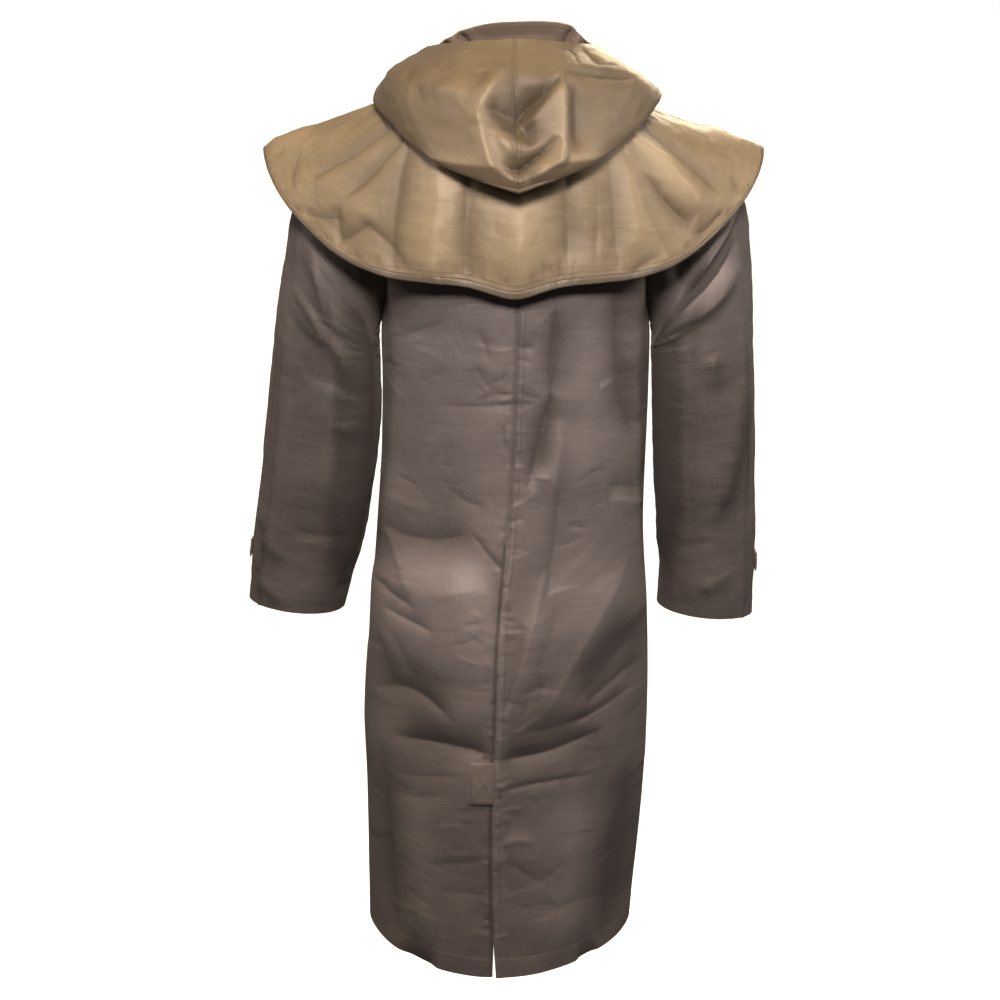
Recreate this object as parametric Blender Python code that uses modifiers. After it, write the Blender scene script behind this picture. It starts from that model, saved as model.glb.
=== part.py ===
"""A long hooded coat with a shoulder cape, in the form it takes when it is worn, with nobody inside.

Metres, +Z up. The wearer faces +Y, so the back of the coat faces -Y, and +X is on the wearer's right.
The origin is the middle of the neck opening at the height of the nape, where the wearer carries the coat.
"""

import bisect
import math
from collections import namedtuple

import bmesh
import bpy
from mathutils import Vector

# Walls of the cloth, and the gap that parts two pieces at a seam
COAT_WALL = 0.0016
CAPE_WALL = 0.0020
HOOD_WALL = 0.0020
COLLAR_WALL = 0.0030
BINDING_WALL = 0.0030
TAB_WALL = 0.0022
SEAM_GAP = 0.0003
ARMHOLE_GAP = 0.0010
CAPE_SHOULDER_GAP = 0.0009
SLEEVE_SEAM_GAP = 0.0007

# Neck opening: half its width, its depth behind and before the origin, and how far it drops from the nape
NECK_HALF_WIDTH = 0.080
NECK_BACK = 0.080
NECK_FRONT = 0.066
NECK_SIDE_DROP = 0.024
NECK_FRONT_DROP = 0.075

# The layers that meet at the neck seam lie over one another, each this far above the coat's own edge
CAPE_NECK_LIFT = 0.0060
HOOD_NECK_LIFT = 0.0095
COLLAR_NECK_LIFT = 0.0122

# Coat body
BACK_LENGTH = 1.216
SHOULDER_DROP = 0.085
UNDERARM_DROP = 0.335
VENT_SLIT_DROP = 1.165
VENT_OPENING = 0.0045
FRONT_LAP = 0.030
FRONT_LAP_EASE = 0.035
FRONT_LAP_LIFT = 0.0048

# Each row is a level of the coat, named by its drop below the nape on the centre back.
# back and front are depths from the origin's plane, seam is where the back seam runs, left and right are the
# side edges, and the reaches are how far the armhole's edges stand behind and before that plane.
BodyRow = namedtuple(
    "BodyRow", "drop back seam left right edge_drop back_reach front_reach front front_drop"
)
BODY = (
    BodyRow(
        0.000, NECK_BACK, 0.000, -NECK_HALF_WIDTH, NECK_HALF_WIDTH, NECK_SIDE_DROP, 0, 0,
        NECK_FRONT, NECK_FRONT_DROP,
    ),
    BodyRow(0.045, 0.112, 0.001, -0.137, 0.139, 0.049, 0.000, 0.000, 0.084, 0.102),
    BodyRow(SHOULDER_DROP, 0.132, 0.002, -0.195, 0.198, 0.077, 0.000, 0.000, 0.104, 0.132),
    BodyRow(0.140, 0.147, 0.003, -0.180, 0.184, 0.132, 0.050, 0.050, 0.125, 0.172),
    BodyRow(0.205, 0.153, 0.004, -0.164, 0.170, 0.207, 0.078, 0.078, 0.139, 0.222),
    BodyRow(0.275, 0.150, 0.004, -0.165, 0.171, 0.287, 0.060, 0.060, 0.147, 0.282),
    BodyRow(UNDERARM_DROP, 0.145, 0.004, -0.1755, 0.181, 0.337, 0.000, 0.000, 0.150, 0.337),
    BodyRow(0.420, 0.137, 0.001, -0.1755, 0.1815, 0.420, 0.000, 0.000, 0.147, 0.420),
    BodyRow(0.520, 0.133, -0.003, -0.1785, 0.179, 0.520, 0.000, 0.000, 0.143, 0.520),
    BodyRow(0.620, 0.137, -0.010, -0.186, 0.1775, 0.620, 0.000, 0.000, 0.143, 0.620),
    BodyRow(0.740, 0.150, -0.020, -0.196, 0.1850, 0.740, 0.000, 0.000, 0.146, 0.740),
    BodyRow(0.865, 0.157, -0.024, -0.2065, 0.1875, 0.865, 0.000, 0.000, 0.150, 0.865),
    BodyRow(1.010, 0.160, -0.029, -0.2048, 0.1825, 1.008, 0.000, 0.000, 0.154, 1.007),
    BodyRow(BACK_LENGTH, 0.166, -0.026, -0.2040, 0.167, 1.188, 0.000, 0.000, 0.160, 1.195),
)

# A fold runs between two points of the flat chart of its piece and rises from the cloth, or sinks into it.
Fold = namedtuple("Fold", "from_x from_y to_x to_y half_width rise")

# Folds of the back, on a chart of x and z
BACK_FOLDS = (
    Fold(-0.181, -0.634, -0.057, -0.598, 0.024, -0.011),
    Fold(-0.175, -0.660, -0.111, -0.752, 0.026, 0.009),
    Fold(-0.150, -0.728, -0.111, -0.744, 0.014, -0.008),
    Fold(0.049, -0.330, 0.046, -0.450, 0.014, -0.009),
    Fold(0.046, -0.450, 0.008, -0.575, 0.014, -0.009),
    Fold(0.072, -0.450, 0.020, -0.660, 0.022, 0.006),
    Fold(0.020, -0.660, -0.008, -0.860, 0.016, 0.005),
    Fold(0.160, -0.700, 0.095, -0.790, 0.030, -0.007),
    Fold(-0.175, -0.845, -0.095, -0.862, 0.016, -0.007),
    Fold(0.160, -0.836, 0.085, -0.856, 0.015, -0.007),
    Fold(-0.161, -0.905, -0.031, -0.893, 0.020, -0.011),
    Fold(-0.018, -0.900, 0.075, -0.892, 0.020, -0.011),
    Fold(0.075, -0.892, 0.150, -0.866, 0.018, -0.009),
    Fold(-0.018, -0.953, 0.110, -0.940, 0.013, -0.006),
    Fold(-0.168, -0.950, -0.152, -1.120, 0.022, 0.005),
    Fold(0.160, -0.970, 0.118, -1.110, 0.022, 0.005),
    Fold(-0.165, -1.235, -0.110, -1.245, 0.045, -0.014),
    Fold(0.130, -1.235, 0.085, -1.240, 0.042, -0.012),
)

# Folds of the front, which hangs straighter, on a chart of x and z
FRONT_FOLDS = (
    Fold(-0.110, -0.420, -0.095, -0.900, 0.026, -0.007),
    Fold(0.105, -0.470, 0.120, -0.980, 0.026, -0.007),
    Fold(-0.150, -0.640, -0.050, -0.690, 0.020, -0.007),
    Fold(0.150, -0.700, 0.055, -0.760, 0.020, -0.006),
    Fold(-0.130, -0.960, -0.118, -1.190, 0.024, 0.007),
    Fold(0.110, -0.930, 0.100, -1.190, 0.024, 0.007),
)

# Sleeves: levels from the armhole to the cuff, as the outer and inner edges seen from behind.
# Distances run outwards from the origin's plane on either side.
SLEEVE_LENGTH = 0.70
SLEEVE_RADIUS = 0.07
SLEEVE_CAP = 0.16
HIND_SEAM = math.radians(45)
SleeveRow = namedtuple("SleeveRow", "along outer_x outer_z inner_x inner_z depth centre_y")
LEFT_SLEEVE = (
    SleeveRow(0.00, 0.195, -0.077, 0.1765, -0.337, 0.080, 0.000),
    SleeveRow(0.10, 0.250, -0.103, 0.1795, -0.346, 0.086, 0.000),
    SleeveRow(0.20, 0.286, -0.165, 0.1802, -0.354, 0.083, 0.000),
    SleeveRow(0.32, 0.304, -0.255, 0.1805, -0.370, 0.078, 0.000),
    SleeveRow(0.44, 0.319, -0.345, 0.1803, -0.388, 0.075, 0.000),
    SleeveRow(0.55, 0.329, -0.425, 0.1800, -0.448, 0.074, 0.004),
    SleeveRow(0.67, 0.340, -0.510, 0.1868, -0.528, 0.073, 0.010),
    SleeveRow(0.80, 0.3525, -0.607, 0.2040, -0.624, 0.071, 0.017),
    SleeveRow(0.91, 0.362, -0.679, 0.2220, -0.695, 0.068, 0.022),
    SleeveRow(1.00, 0.367, -0.727, 0.2345, -0.742, 0.066, 0.026),
)
RIGHT_SLEEVE = (
    SleeveRow(0.00, 0.198, -0.077, 0.1820, -0.337, 0.080, 0.000),
    SleeveRow(0.10, 0.253, -0.103, 0.1848, -0.346, 0.086, 0.000),
    SleeveRow(0.20, 0.301, -0.165, 0.1855, -0.354, 0.083, 0.000),
    SleeveRow(0.32, 0.3145, -0.250, 0.1860, -0.368, 0.078, 0.000),
    SleeveRow(0.44, 0.3205, -0.345, 0.1872, -0.382, 0.075, 0.000),
    SleeveRow(0.55, 0.325, -0.425, 0.1900, -0.440, 0.074, 0.004),
    SleeveRow(0.67, 0.3295, -0.515, 0.1935, -0.520, 0.072, 0.010),
    SleeveRow(0.80, 0.3323, -0.608, 0.1985, -0.608, 0.070, 0.017),
    SleeveRow(0.91, 0.3340, -0.680, 0.2030, -0.678, 0.068, 0.022),
    SleeveRow(1.00, 0.3335, -0.749, 0.2010, -0.737, 0.066, 0.026),
)

# Folds of the sleeves, on a chart of the way round from the outer edge towards the back, and the way down
LEFT_SLEEVE_FOLDS = (
    Fold(0.060, 0.220, 0.120, 0.330, 0.012, -0.005),
    Fold(0.062, 0.295, 0.148, 0.385, 0.012, -0.006),
    Fold(0.080, 0.372, 0.150, 0.392, 0.010, 0.004),
    Fold(0.070, 0.560, 0.140, 0.552, 0.012, -0.004),
    Fold(-0.010, 0.560, 0.050, 0.620, 0.018, -0.006),
    Fold(-0.060, 0.360, -0.150, 0.400, 0.014, -0.006),
)
RIGHT_SLEEVE_FOLDS = (
    Fold(0.055, 0.200, 0.140, 0.295, 0.016, 0.006),
    Fold(0.080, 0.205, 0.150, 0.262, 0.014, -0.007),
    Fold(0.043, 0.340, 0.097, 0.505, 0.016, -0.006),
    Fold(0.090, 0.375, 0.120, 0.385, 0.012, -0.005),
    Fold(0.080, 0.560, 0.140, 0.570, 0.012, -0.004),
    Fold(-0.060, 0.380, -0.150, 0.350, 0.014, -0.006),
)

# Cuff tabs lie on the top sleeve, from just behind its outer edge to the front. The run is a share of that
# sleeve's way round, and each tab's place is a share of its way down.
CUFF_TAB_RUN = (0.8, 0.4)
CUFF_TAB_WIDTH = 0.026
CUFF_TAB_EASE = 0.0016
CUFF_TABS = {"left": 0.875, "right": 0.905}
CUFF_STUD_SHARE = 0.85

# Tab across the vent, on the left back. Its width is a share of that panel's way round.
VENT_TAB_SHARE = 0.114
VENT_TAB_TOP_DROP = 0.908
VENT_TAB_BOTTOM_DROP = 0.965
VENT_TAB_EASE = 0.0006

# Shoulder cape: half the width of its hem, the hem's depth behind and before, and the drop of the hem.
# out and down place the point that the cloth leans to on its way from neck to hem, as shares of that way.
CAPE_HALF_WIDTH = 0.328
CAPE_BACK = 0.176
CAPE_FRONT = 0.170
CAPE_EDGE_ANGLE = math.radians(155)
CAPE_SHOULDER_ANGLE = math.radians(95)
CAPE_CHART_RADIUS = 0.25
CAPE_CHART_LENGTH = 0.30
BINDING_SHARE = 0.022
CapeRow = namedtuple("CapeRow", "angle hem_drop out down")
CAPE = (
    CapeRow(0, 0.286, 0.99, 0.18),
    CapeRow(10, 0.273, 0.98, 0.19),
    CapeRow(20, 0.265, 0.97, 0.22),
    CapeRow(30, 0.260, 0.95, 0.26),
    CapeRow(42, 0.237, 0.91, 0.39),
    CapeRow(62, 0.178, 0.84, 0.54),
    CapeRow(78, 0.132, 0.77, 0.60),
    CapeRow(90, 0.109, 0.73, 0.66),
    CapeRow(105, 0.130, 0.77, 0.60),
    CapeRow(130, 0.200, 0.88, 0.42),
    CapeRow(155, 0.245, 0.94, 0.32),
)

# Folds of the cape, on a chart of the way round from the centre back, and the way down from the neck
CAPE_FOLDS = (
    Fold(-0.350, 0.100, -0.290, 0.230, 0.018, -0.008),
    Fold(-0.285, 0.110, -0.240, 0.200, 0.016, -0.006),
    Fold(-0.170, 0.140, -0.118, 0.300, 0.020, -0.008),
    Fold(-0.075, 0.190, -0.072, 0.300, 0.018, 0.005),
    Fold(-0.040, 0.190, -0.038, 0.290, 0.014, -0.005),
    Fold(0.000, 0.200, 0.000, 0.300, 0.020, 0.006),
    Fold(0.050, 0.170, 0.045, 0.280, 0.015, -0.006),
    Fold(0.088, 0.160, 0.090, 0.300, 0.015, -0.006),
    Fold(0.125, 0.150, 0.128, 0.300, 0.018, 0.006),
    Fold(0.200, 0.170, 0.190, 0.270, 0.018, -0.008),
    Fold(0.310, 0.110, 0.270, 0.220, 0.018, -0.008),
    Fold(0.370, 0.060, 0.400, 0.200, 0.050, -0.007),
    Fold(-0.375, 0.180, -0.390, 0.290, 0.045, 0.006),
    Fold(-0.520, 0.120, -0.540, 0.280, 0.022, -0.008),
    Fold(0.510, 0.120, 0.530, 0.280, 0.022, -0.008),
)

# Hood, hanging down the back as an open pouch: the rim, the crown below it, the fold at the bottom, and the
# underside on its way up to the neck. out is the distance from the neck's axis.
HOOD_END_ANGLE = math.radians(150)
HOOD_CHART_RADIUS = 0.19
HOOD_CHART_LENGTH = 0.42
HOOD_FOLD_TILT = 0.003
HOOD_FOLD_SHIFT = 0.005
HoodRow = namedtuple(
    "HoodRow", "angle rim_out rim_z crown_out crown_z fold_out fold_z under_out under_z"
)
HOOD = (
    HoodRow(0, 0.118, 0.033, 0.186, -0.035, 0.212, -0.152, 0.127, -0.015),
    HoodRow(28, 0.117, 0.030, 0.186, -0.030, 0.198, -0.118, 0.127, -0.016),
    HoodRow(58, 0.114, 0.024, 0.178, -0.012, 0.189, -0.066, 0.127, -0.021),
    HoodRow(90, 0.112, 0.018, 0.156, -0.010, 0.182, -0.040, 0.125, -0.025),
    HoodRow(120, 0.104, -0.008, 0.136, -0.020, 0.152, -0.055, 0.112, -0.037),
    HoodRow(150, 0.092, -0.036, 0.108, -0.044, 0.116, -0.068, 0.090, -0.058),
)
HOOD_STOPS = (0.0, 0.28, 0.60, 0.82, 1.0)
HoodStation = namedtuple("HoodStation", "reach x y z")

# Folds of the hood, on a chart of the way round from the centre back, and the way down from the rim
HOOD_FOLDS = (
    Fold(-0.020, 0.100, -0.044, 0.150, 0.014, 0.008),
    Fold(-0.044, 0.150, -0.026, 0.205, 0.014, 0.008),
    Fold(0.052, 0.085, 0.046, 0.195, 0.014, 0.008),
    Fold(0.044, 0.105, 0.008, 0.140, 0.012, -0.010),
    Fold(-0.020, 0.212, 0.036, 0.206, 0.010, -0.009),
    Fold(-0.018, 0.232, 0.034, 0.228, 0.010, 0.006),
)

# Stand collar, leaning out a little from the neck
COLLAR_HEIGHT = 0.0412
COLLAR_HALF_WIDTH = 0.104
COLLAR_BACK = 0.096
COLLAR_FRONT = 0.084
COLLAR_END_ANGLE = math.radians(158)
COLLAR_SQUARENESS = 0.70
COLLAR_TILT = 0.008

# Press studs
STUD_RADIUS = 0.0065
STUD_TOP_RADIUS = 0.0050
STUD_HEIGHT = 0.0026
STUD_SIDES = 14
STUD_ROUGHNESS = 0.35
STUD_METALLIC = 0.6
FRONT_STUD_DROPS = (0.330, 0.470, 0.610, 0.750, 0.890)
FRONT_STUD_SHARE = 0.15

# Columns and rows of each piece's grid. Pieces that meet at a seam share its rows or columns.
BACK_GRID = (12, 26)
FRONT_GRID = (9, 26)
SLEEVE_GRID = (10, 20)
HOOD_GRID = (15, 16)
CAPE_BACK_GRID = (38, 9)
CAPE_FRONT_GRID = (12, 9)
BINDING_GRID = (62, 1)
COLLAR_GRID = (32, 3)
CUFF_TAB_GRID = (4, 2)
VENT_TAB_GRID = (3, 4)

# Each long panel of the body is three solids, because collision follows a short wall more closely.
# A stretch runs from one row of the panel's grid to another.
STRETCHES = {"yoke": (0, 6), "waist": (6, 13), "skirt": (13, 26)}
STRETCH_GAP = 0.0005

CLOTH_ROUGHNESS = 0.5
COAT_COLOUR = (0.095, 0.075, 0.060)
CAPE_COLOUR = (0.140, 0.105, 0.075)
STUD_COLOUR = (0.060, 0.050, 0.042)

BACK, FRONT = -1, 1
LEFT, RIGHT = -1, 1
QUARTER = math.pi / 2
SLEEVES = {LEFT: LEFT_SLEEVE, RIGHT: RIGHT_SLEEVE}
SLEEVE_FOLDS = {LEFT: LEFT_SLEEVE_FOLDS, RIGHT: RIGHT_SLEEVE_FOLDS}

# Share of a surface's way across or down over which its slope is read
PROBE = 0.01


def row_at(rows, place):
    """The row at a place along a table's first column, on a smooth curve through the table's rows."""
    keys = [row[0] for row in rows]
    last = len(rows) - 1
    start = min(max(bisect.bisect(keys, place) - 1, 0), last - 1)
    span = keys[start + 1] - keys[start]
    part = (place - keys[start]) / span

    def slope(column, index):
        low, high = max(index - 1, 0), min(index + 1, last)
        return (rows[high][column] - rows[low][column]) / (keys[high] - keys[low])

    ease = part * part * (3 - 2 * part)
    leave = part * (1 - part) ** 2 * span
    arrive = part * part * (part - 1) * span
    values = [
        rows[start][column] * (1 - ease)
        + rows[start + 1][column] * ease
        + slope(column, start) * leave
        + slope(column, start + 1) * arrive
        for column in range(len(rows[0]))
    ]
    return type(rows[0])(*values)


def smooth(value):
    """0 below 0, 1 above 1 and an even ease between."""
    value = min(max(value, 0.0), 1.0)
    return value * value * (3 - 2 * value)


def relief(folds, x, y):
    """How far the folds lift the cloth at a point of its chart."""
    height = 0.0
    for fold in folds:
        run_x, run_y = fold.to_x - fold.from_x, fold.to_y - fold.from_y
        past_x, past_y = x - fold.from_x, y - fold.from_y
        share = (past_x * run_x + past_y * run_y) / (run_x * run_x + run_y * run_y)
        share = min(max(share, 0.0), 1.0)
        away = math.hypot(past_x - share * run_x, past_y - share * run_y)
        height += fold.rise * math.exp(-((away / fold.half_width) ** 2))
    return height


def neck_point(angle, lift):
    """A point of the neck seam. The angle runs from the centre back, positive to the right."""
    behind = math.cos(angle)
    if behind > 0:
        depth, drop = NECK_BACK, NECK_SIDE_DROP * math.sin(angle) ** 2
    else:
        depth, drop = NECK_FRONT, NECK_SIDE_DROP + (NECK_FRONT_DROP - NECK_SIDE_DROP) * behind**2
    return Vector((NECK_HALF_WIDTH * math.sin(angle), -depth * behind, lift - drop))


def body_point(side, face, turn, drop, out=0.0):
    """A point of the coat's body. turn is 0 on the centre line and a quarter turn on the side edge."""
    row = row_at(BODY, drop)
    edge = row.right if side == RIGHT else row.left
    if face == BACK:
        centre, depth, reach, centre_z = row.seam, row.back, row.back_reach, -row.drop
        folds = BACK_FOLDS
    else:
        centre, depth, reach = (row.left + row.right) / 2, row.front, row.front_reach
        centre_z = -row.front_drop
        folds = FRONT_FOLDS
    reach = max(reach, 0.0)
    across, along = math.sin(turn), math.cos(turn)
    x = centre + (edge - centre) * across
    y = face * (reach + (depth - reach) * along)
    z = centre_z + (-row.edge_drop - centre_z) * across**2
    outward = Vector((across * depth * side, face * along * abs(edge - centre), 0)).normalized()
    return Vector((x, y, z)) + outward * (out + relief(folds, x, z) * along)


def back_surface(side):
    """One half of the back, from the centre seam to the side, with the vent opening towards the hem."""

    def surface(u, v):
        drop = v * BACK_LENGTH
        row = row_at(BODY, drop)
        edge = row.right if side == RIGHT else row.left
        opening = smooth((drop - VENT_SLIT_DROP) / (BACK_LENGTH - VENT_SLIT_DROP)) * VENT_OPENING
        start = math.asin((SEAM_GAP + opening) / 2 / abs(edge - row.seam))
        end = math.acos(SEAM_GAP / 2 / row.back)
        return body_point(side, BACK, start + (end - start) * u, drop)

    return surface


def front_surface(side):
    """One front, from the side to past the centre. The left front is lifted to lie over the right."""

    def surface(u, v):
        drop = v * BACK_LENGTH
        row = row_at(BODY, drop)
        start = -math.asin(FRONT_LAP / ((row.right - row.left) / 2))
        end = math.acos(SEAM_GAP / 2 / row.front)
        turn = start + (end - start) * u
        out = 0.0
        if side == LEFT:
            from_lap = math.sin(turn) * (row.right - row.left) / 2 - FRONT_LAP
            out = FRONT_LAP_LIFT * smooth(1 - from_lap / FRONT_LAP_EASE)
        return body_point(side, FRONT, turn, drop, out)

    return surface


def armhole_point(side, around):
    """A point of the armhole's edge, just clear of the body's wall. around starts at the shoulder."""
    share = (1 - math.cos(around)) / 2
    drop = SHOULDER_DROP + (UNDERARM_DROP - SHOULDER_DROP) * share
    face = BACK if math.sin(around) > 0 else FRONT
    return body_point(side, face, QUARTER, drop) + Vector((side * (COAT_WALL / 2 + ARMHOLE_GAP), 0, 0))


def sleeve_point(side, around, along):
    """A point of a sleeve. around is 0 on the outer edge and a quarter turn at the back."""
    row = row_at(SLEEVES[side], along)
    outer = Vector((side * row.outer_x, row.centre_y, row.outer_z))
    inner = Vector((side * row.inner_x, row.centre_y, row.inner_z))
    half = (outer - inner) / 2
    backward = Vector((0, -1, 0))
    point = (outer + inner) / 2 + half * math.cos(around) + backward * row.depth * math.sin(around)
    outward = half.normalized() * math.cos(around) * row.depth + backward * math.sin(around) * half.length
    lift = relief(SLEEVE_FOLDS[side], around * SLEEVE_RADIUS, along * SLEEVE_LENGTH)
    point += outward.normalized() * lift
    return armhole_point(side, around).lerp(point, smooth(along / SLEEVE_CAP))


def sleeve_surface(side, start, end):
    """A strip of the sleeve between two seams, from armhole to cuff."""
    seam = SLEEVE_SEAM_GAP / 2 / SLEEVE_RADIUS

    def surface(u, v):
        return sleeve_point(side, start + seam + (end - start - 2 * seam) * u, v)

    return surface


def cape_point(angle, reach):
    """A point of the cape: reach is 0 at the neck and 1 at the hem."""
    row = row_at(CAPE, abs(math.degrees(angle)))
    aside, behind = math.sin(angle), math.cos(angle)
    depth = CAPE_BACK if behind > 0 else CAPE_FRONT
    neck = neck_point(angle, CAPE_NECK_LIFT)
    hem = Vector((CAPE_HALF_WIDTH * aside, -depth * behind, -row.hem_drop))
    way = hem - neck
    lean = neck + Vector((way.x * row.out, way.y * row.out, way.z * row.down))
    point = neck * (1 - reach) ** 2 + lean * 2 * reach * (1 - reach) + hem * reach**2
    heading = (lean - neck) * (1 - reach) + (hem - lean) * reach
    plan = Vector((heading.x, heading.y, 0))
    outward = (plan.normalized() * -heading.z + Vector((0, 0, plan.length))).normalized()
    return point + outward * relief(CAPE_FOLDS, angle * CAPE_CHART_RADIUS, reach * CAPE_CHART_LENGTH)


def cape_surface(start, end):
    """A piece of the cape between two edges, ending just short of the binding."""
    seam = math.copysign(CAPE_SHOULDER_GAP / 2 / CAPE_CHART_RADIUS, end - start)
    hem = 1 - BINDING_SHARE - SEAM_GAP / CAPE_CHART_LENGTH

    def surface(u, v):
        return cape_point(start + seam + (end - start - 2 * seam) * u, v * hem)

    return surface


def binding_surface(u, v):
    angle = CAPE_EDGE_ANGLE * (2 * u - 1)
    return cape_point(angle, 1 - BINDING_SHARE * (1 - v))


def hood_point(angle, reach):
    """A point of the hood: reach is 0 at the rim and 1 at the neck seam."""
    row = row_at(HOOD, abs(math.degrees(angle)))
    aside, behind = math.sin(angle), math.cos(angle)

    def place(out, z, shift=0.0):
        return out * aside + shift, -out * behind, z

    neck = neck_point(angle, HOOD_NECK_LIFT)
    fold_z = row.fold_z + HOOD_FOLD_TILT * aside
    stations = (
        HoodStation(HOOD_STOPS[0], *place(row.rim_out, row.rim_z)),
        HoodStation(HOOD_STOPS[1], *place(row.crown_out, row.crown_z)),
        HoodStation(HOOD_STOPS[2], *place(row.fold_out, fold_z, HOOD_FOLD_SHIFT)),
        HoodStation(HOOD_STOPS[3], *place(row.under_out, row.under_z)),
        HoodStation(HOOD_STOPS[4], *neck),
    )
    station = row_at(stations, reach)
    point = Vector((station.x, station.y, station.z))
    outward = Vector((aside, -behind, 0))
    return point + outward * relief(HOOD_FOLDS, angle * HOOD_CHART_RADIUS, reach * HOOD_CHART_LENGTH)


def hood_surface(side):
    seam = SEAM_GAP / 2 / NECK_BACK

    def surface(u, v):
        return hood_point(side * (seam + (HOOD_END_ANGLE - seam) * u), v)

    return surface


def collar_surface(u, v):
    """The collar round the neck: v is 0 at the neck seam and 1 on its top edge."""
    angle = COLLAR_END_ANGLE * (2 * u - 1)
    aside, behind = math.sin(angle), math.cos(angle)
    foot = neck_point(angle, COLLAR_NECK_LIFT)
    depth = COLLAR_BACK if behind > 0 else COLLAR_FRONT
    top = Vector(
        (
            math.copysign(abs(aside) ** COLLAR_SQUARENESS, aside) * COLLAR_HALF_WIDTH,
            math.copysign(abs(behind) ** COLLAR_SQUARENESS, -behind) * depth,
            foot.z + COLLAR_HEIGHT + COLLAR_TILT * aside,
        )
    )
    return foot.lerp(top, v)


def outward_at(surface, u, v):
    """The way out of the coat at a point of a surface."""
    across = surface(u + PROBE, v) - surface(u - PROBE, v)
    down = surface(u, v + PROBE) - surface(u, v - PROBE)
    outward = across.cross(down).normalized()
    place = surface(u, v)
    return outward if outward.x * place.x + outward.y * place.y > 0 else -outward


def laid_on(surface, grid, lift):
    """The grid of a piece of cloth as a surface, flat between its corners and moved out from it."""
    columns, rows = grid

    def lifted(u, v):
        i, j = min(int(u * columns), columns - 1), min(int(v * rows), rows - 1)
        across, down = u * columns - i, v * rows - j
        upper = surface(i / columns, j / rows).lerp(surface((i + 1) / columns, j / rows), across)
        lower = surface(i / columns, (j + 1) / rows).lerp(surface((i + 1) / columns, (j + 1) / rows), across)
        return upper.lerp(lower, down) + outward_at(surface, u, v) * lift

    return lifted


def part_of(surface, u_range, v_range):
    """A patch of a surface, as a surface of its own."""

    def patch(u, v):
        across = u_range[0] + (u_range[1] - u_range[0]) * u
        down = v_range[0] + (v_range[1] - v_range[0]) * v
        return surface(across, down)

    return patch


def dye(name, colour, roughness, metallic=0.0):
    material = bpy.data.materials.new(name)
    material.use_nodes = True
    shader = material.node_tree.nodes["Principled BSDF"]
    shader.inputs["Base Color"].default_value = (*colour, 1)
    shader.inputs["Roughness"].default_value = roughness
    shader.inputs["Metallic"].default_value = metallic
    return material


def add(name, mesh, material):
    """An object of the coat, hung from the neck."""
    mesh.materials.append(material)
    mesh.shade_smooth()
    piece = bpy.data.objects.new(name, mesh)
    piece.parent = hold
    coat.objects.link(piece)
    return piece


def cloth(name, surface, grid_size, wall, colour):
    """A piece of cloth: a grid laid on a surface of u and v, both from 0 to 1, and given its wall."""
    columns, rows = grid_size
    mesh = bpy.data.meshes.new(name)
    grid = bmesh.new()
    bmesh.ops.create_grid(grid, x_segments=columns, y_segments=rows, size=0.5)
    for corner in grid.verts:
        corner.co = surface(corner.co.x + 0.5, corner.co.y + 0.5)
    grid.to_mesh(mesh)
    grid.free()
    piece = add(name, mesh, dye(name, colour, CLOTH_ROUGHNESS))
    solidify = piece.modifiers.new("wall", "SOLIDIFY")
    solidify.thickness = wall
    solidify.offset = 0
    return piece


def panel(name, surface, grid_size):
    """A long panel of the coat's body, in stretches that stand a little apart."""
    columns, rows = grid_size
    gap = STRETCH_GAP / 2 / BACK_LENGTH
    for stretch, (first, last) in STRETCHES.items():
        top = first / rows + (gap if first > 0 else 0)
        bottom = last / rows - (gap if last < rows else 0)
        cut = part_of(surface, (0, 1), (top, bottom))
        cloth(f"{name}_{stretch}", cut, (columns, last - first), COAT_WALL, COAT_COLOUR)


def stud(name, surface, u, v):
    """A press stud's cap, with its foot on a surface."""
    outward = outward_at(surface, u, v)
    mesh = bpy.data.meshes.new(name)
    cap = bmesh.new()
    bmesh.ops.create_cone(
        cap,
        cap_ends=True,
        segments=STUD_SIDES,
        radius1=STUD_RADIUS,
        radius2=STUD_TOP_RADIUS,
        depth=STUD_HEIGHT,
    )
    cap.to_mesh(mesh)
    cap.free()
    piece = add(name, mesh, dye(name, STUD_COLOUR, STUD_ROUGHNESS, STUD_METALLIC))
    piece.location = surface(u, v) + outward * STUD_HEIGHT / 2
    piece.rotation_mode = "QUATERNION"
    piece.rotation_quaternion = outward.to_track_quat("Z", "Y")


for leftover in list(bpy.data.objects):
    bpy.data.objects.remove(leftover, do_unlink=True)

coat = bpy.data.collections.new("cape_coat")
bpy.context.scene.collection.children.link(coat)
hold = bpy.data.objects.new("neck_hold", None)
coat.objects.link(hold)

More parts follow.
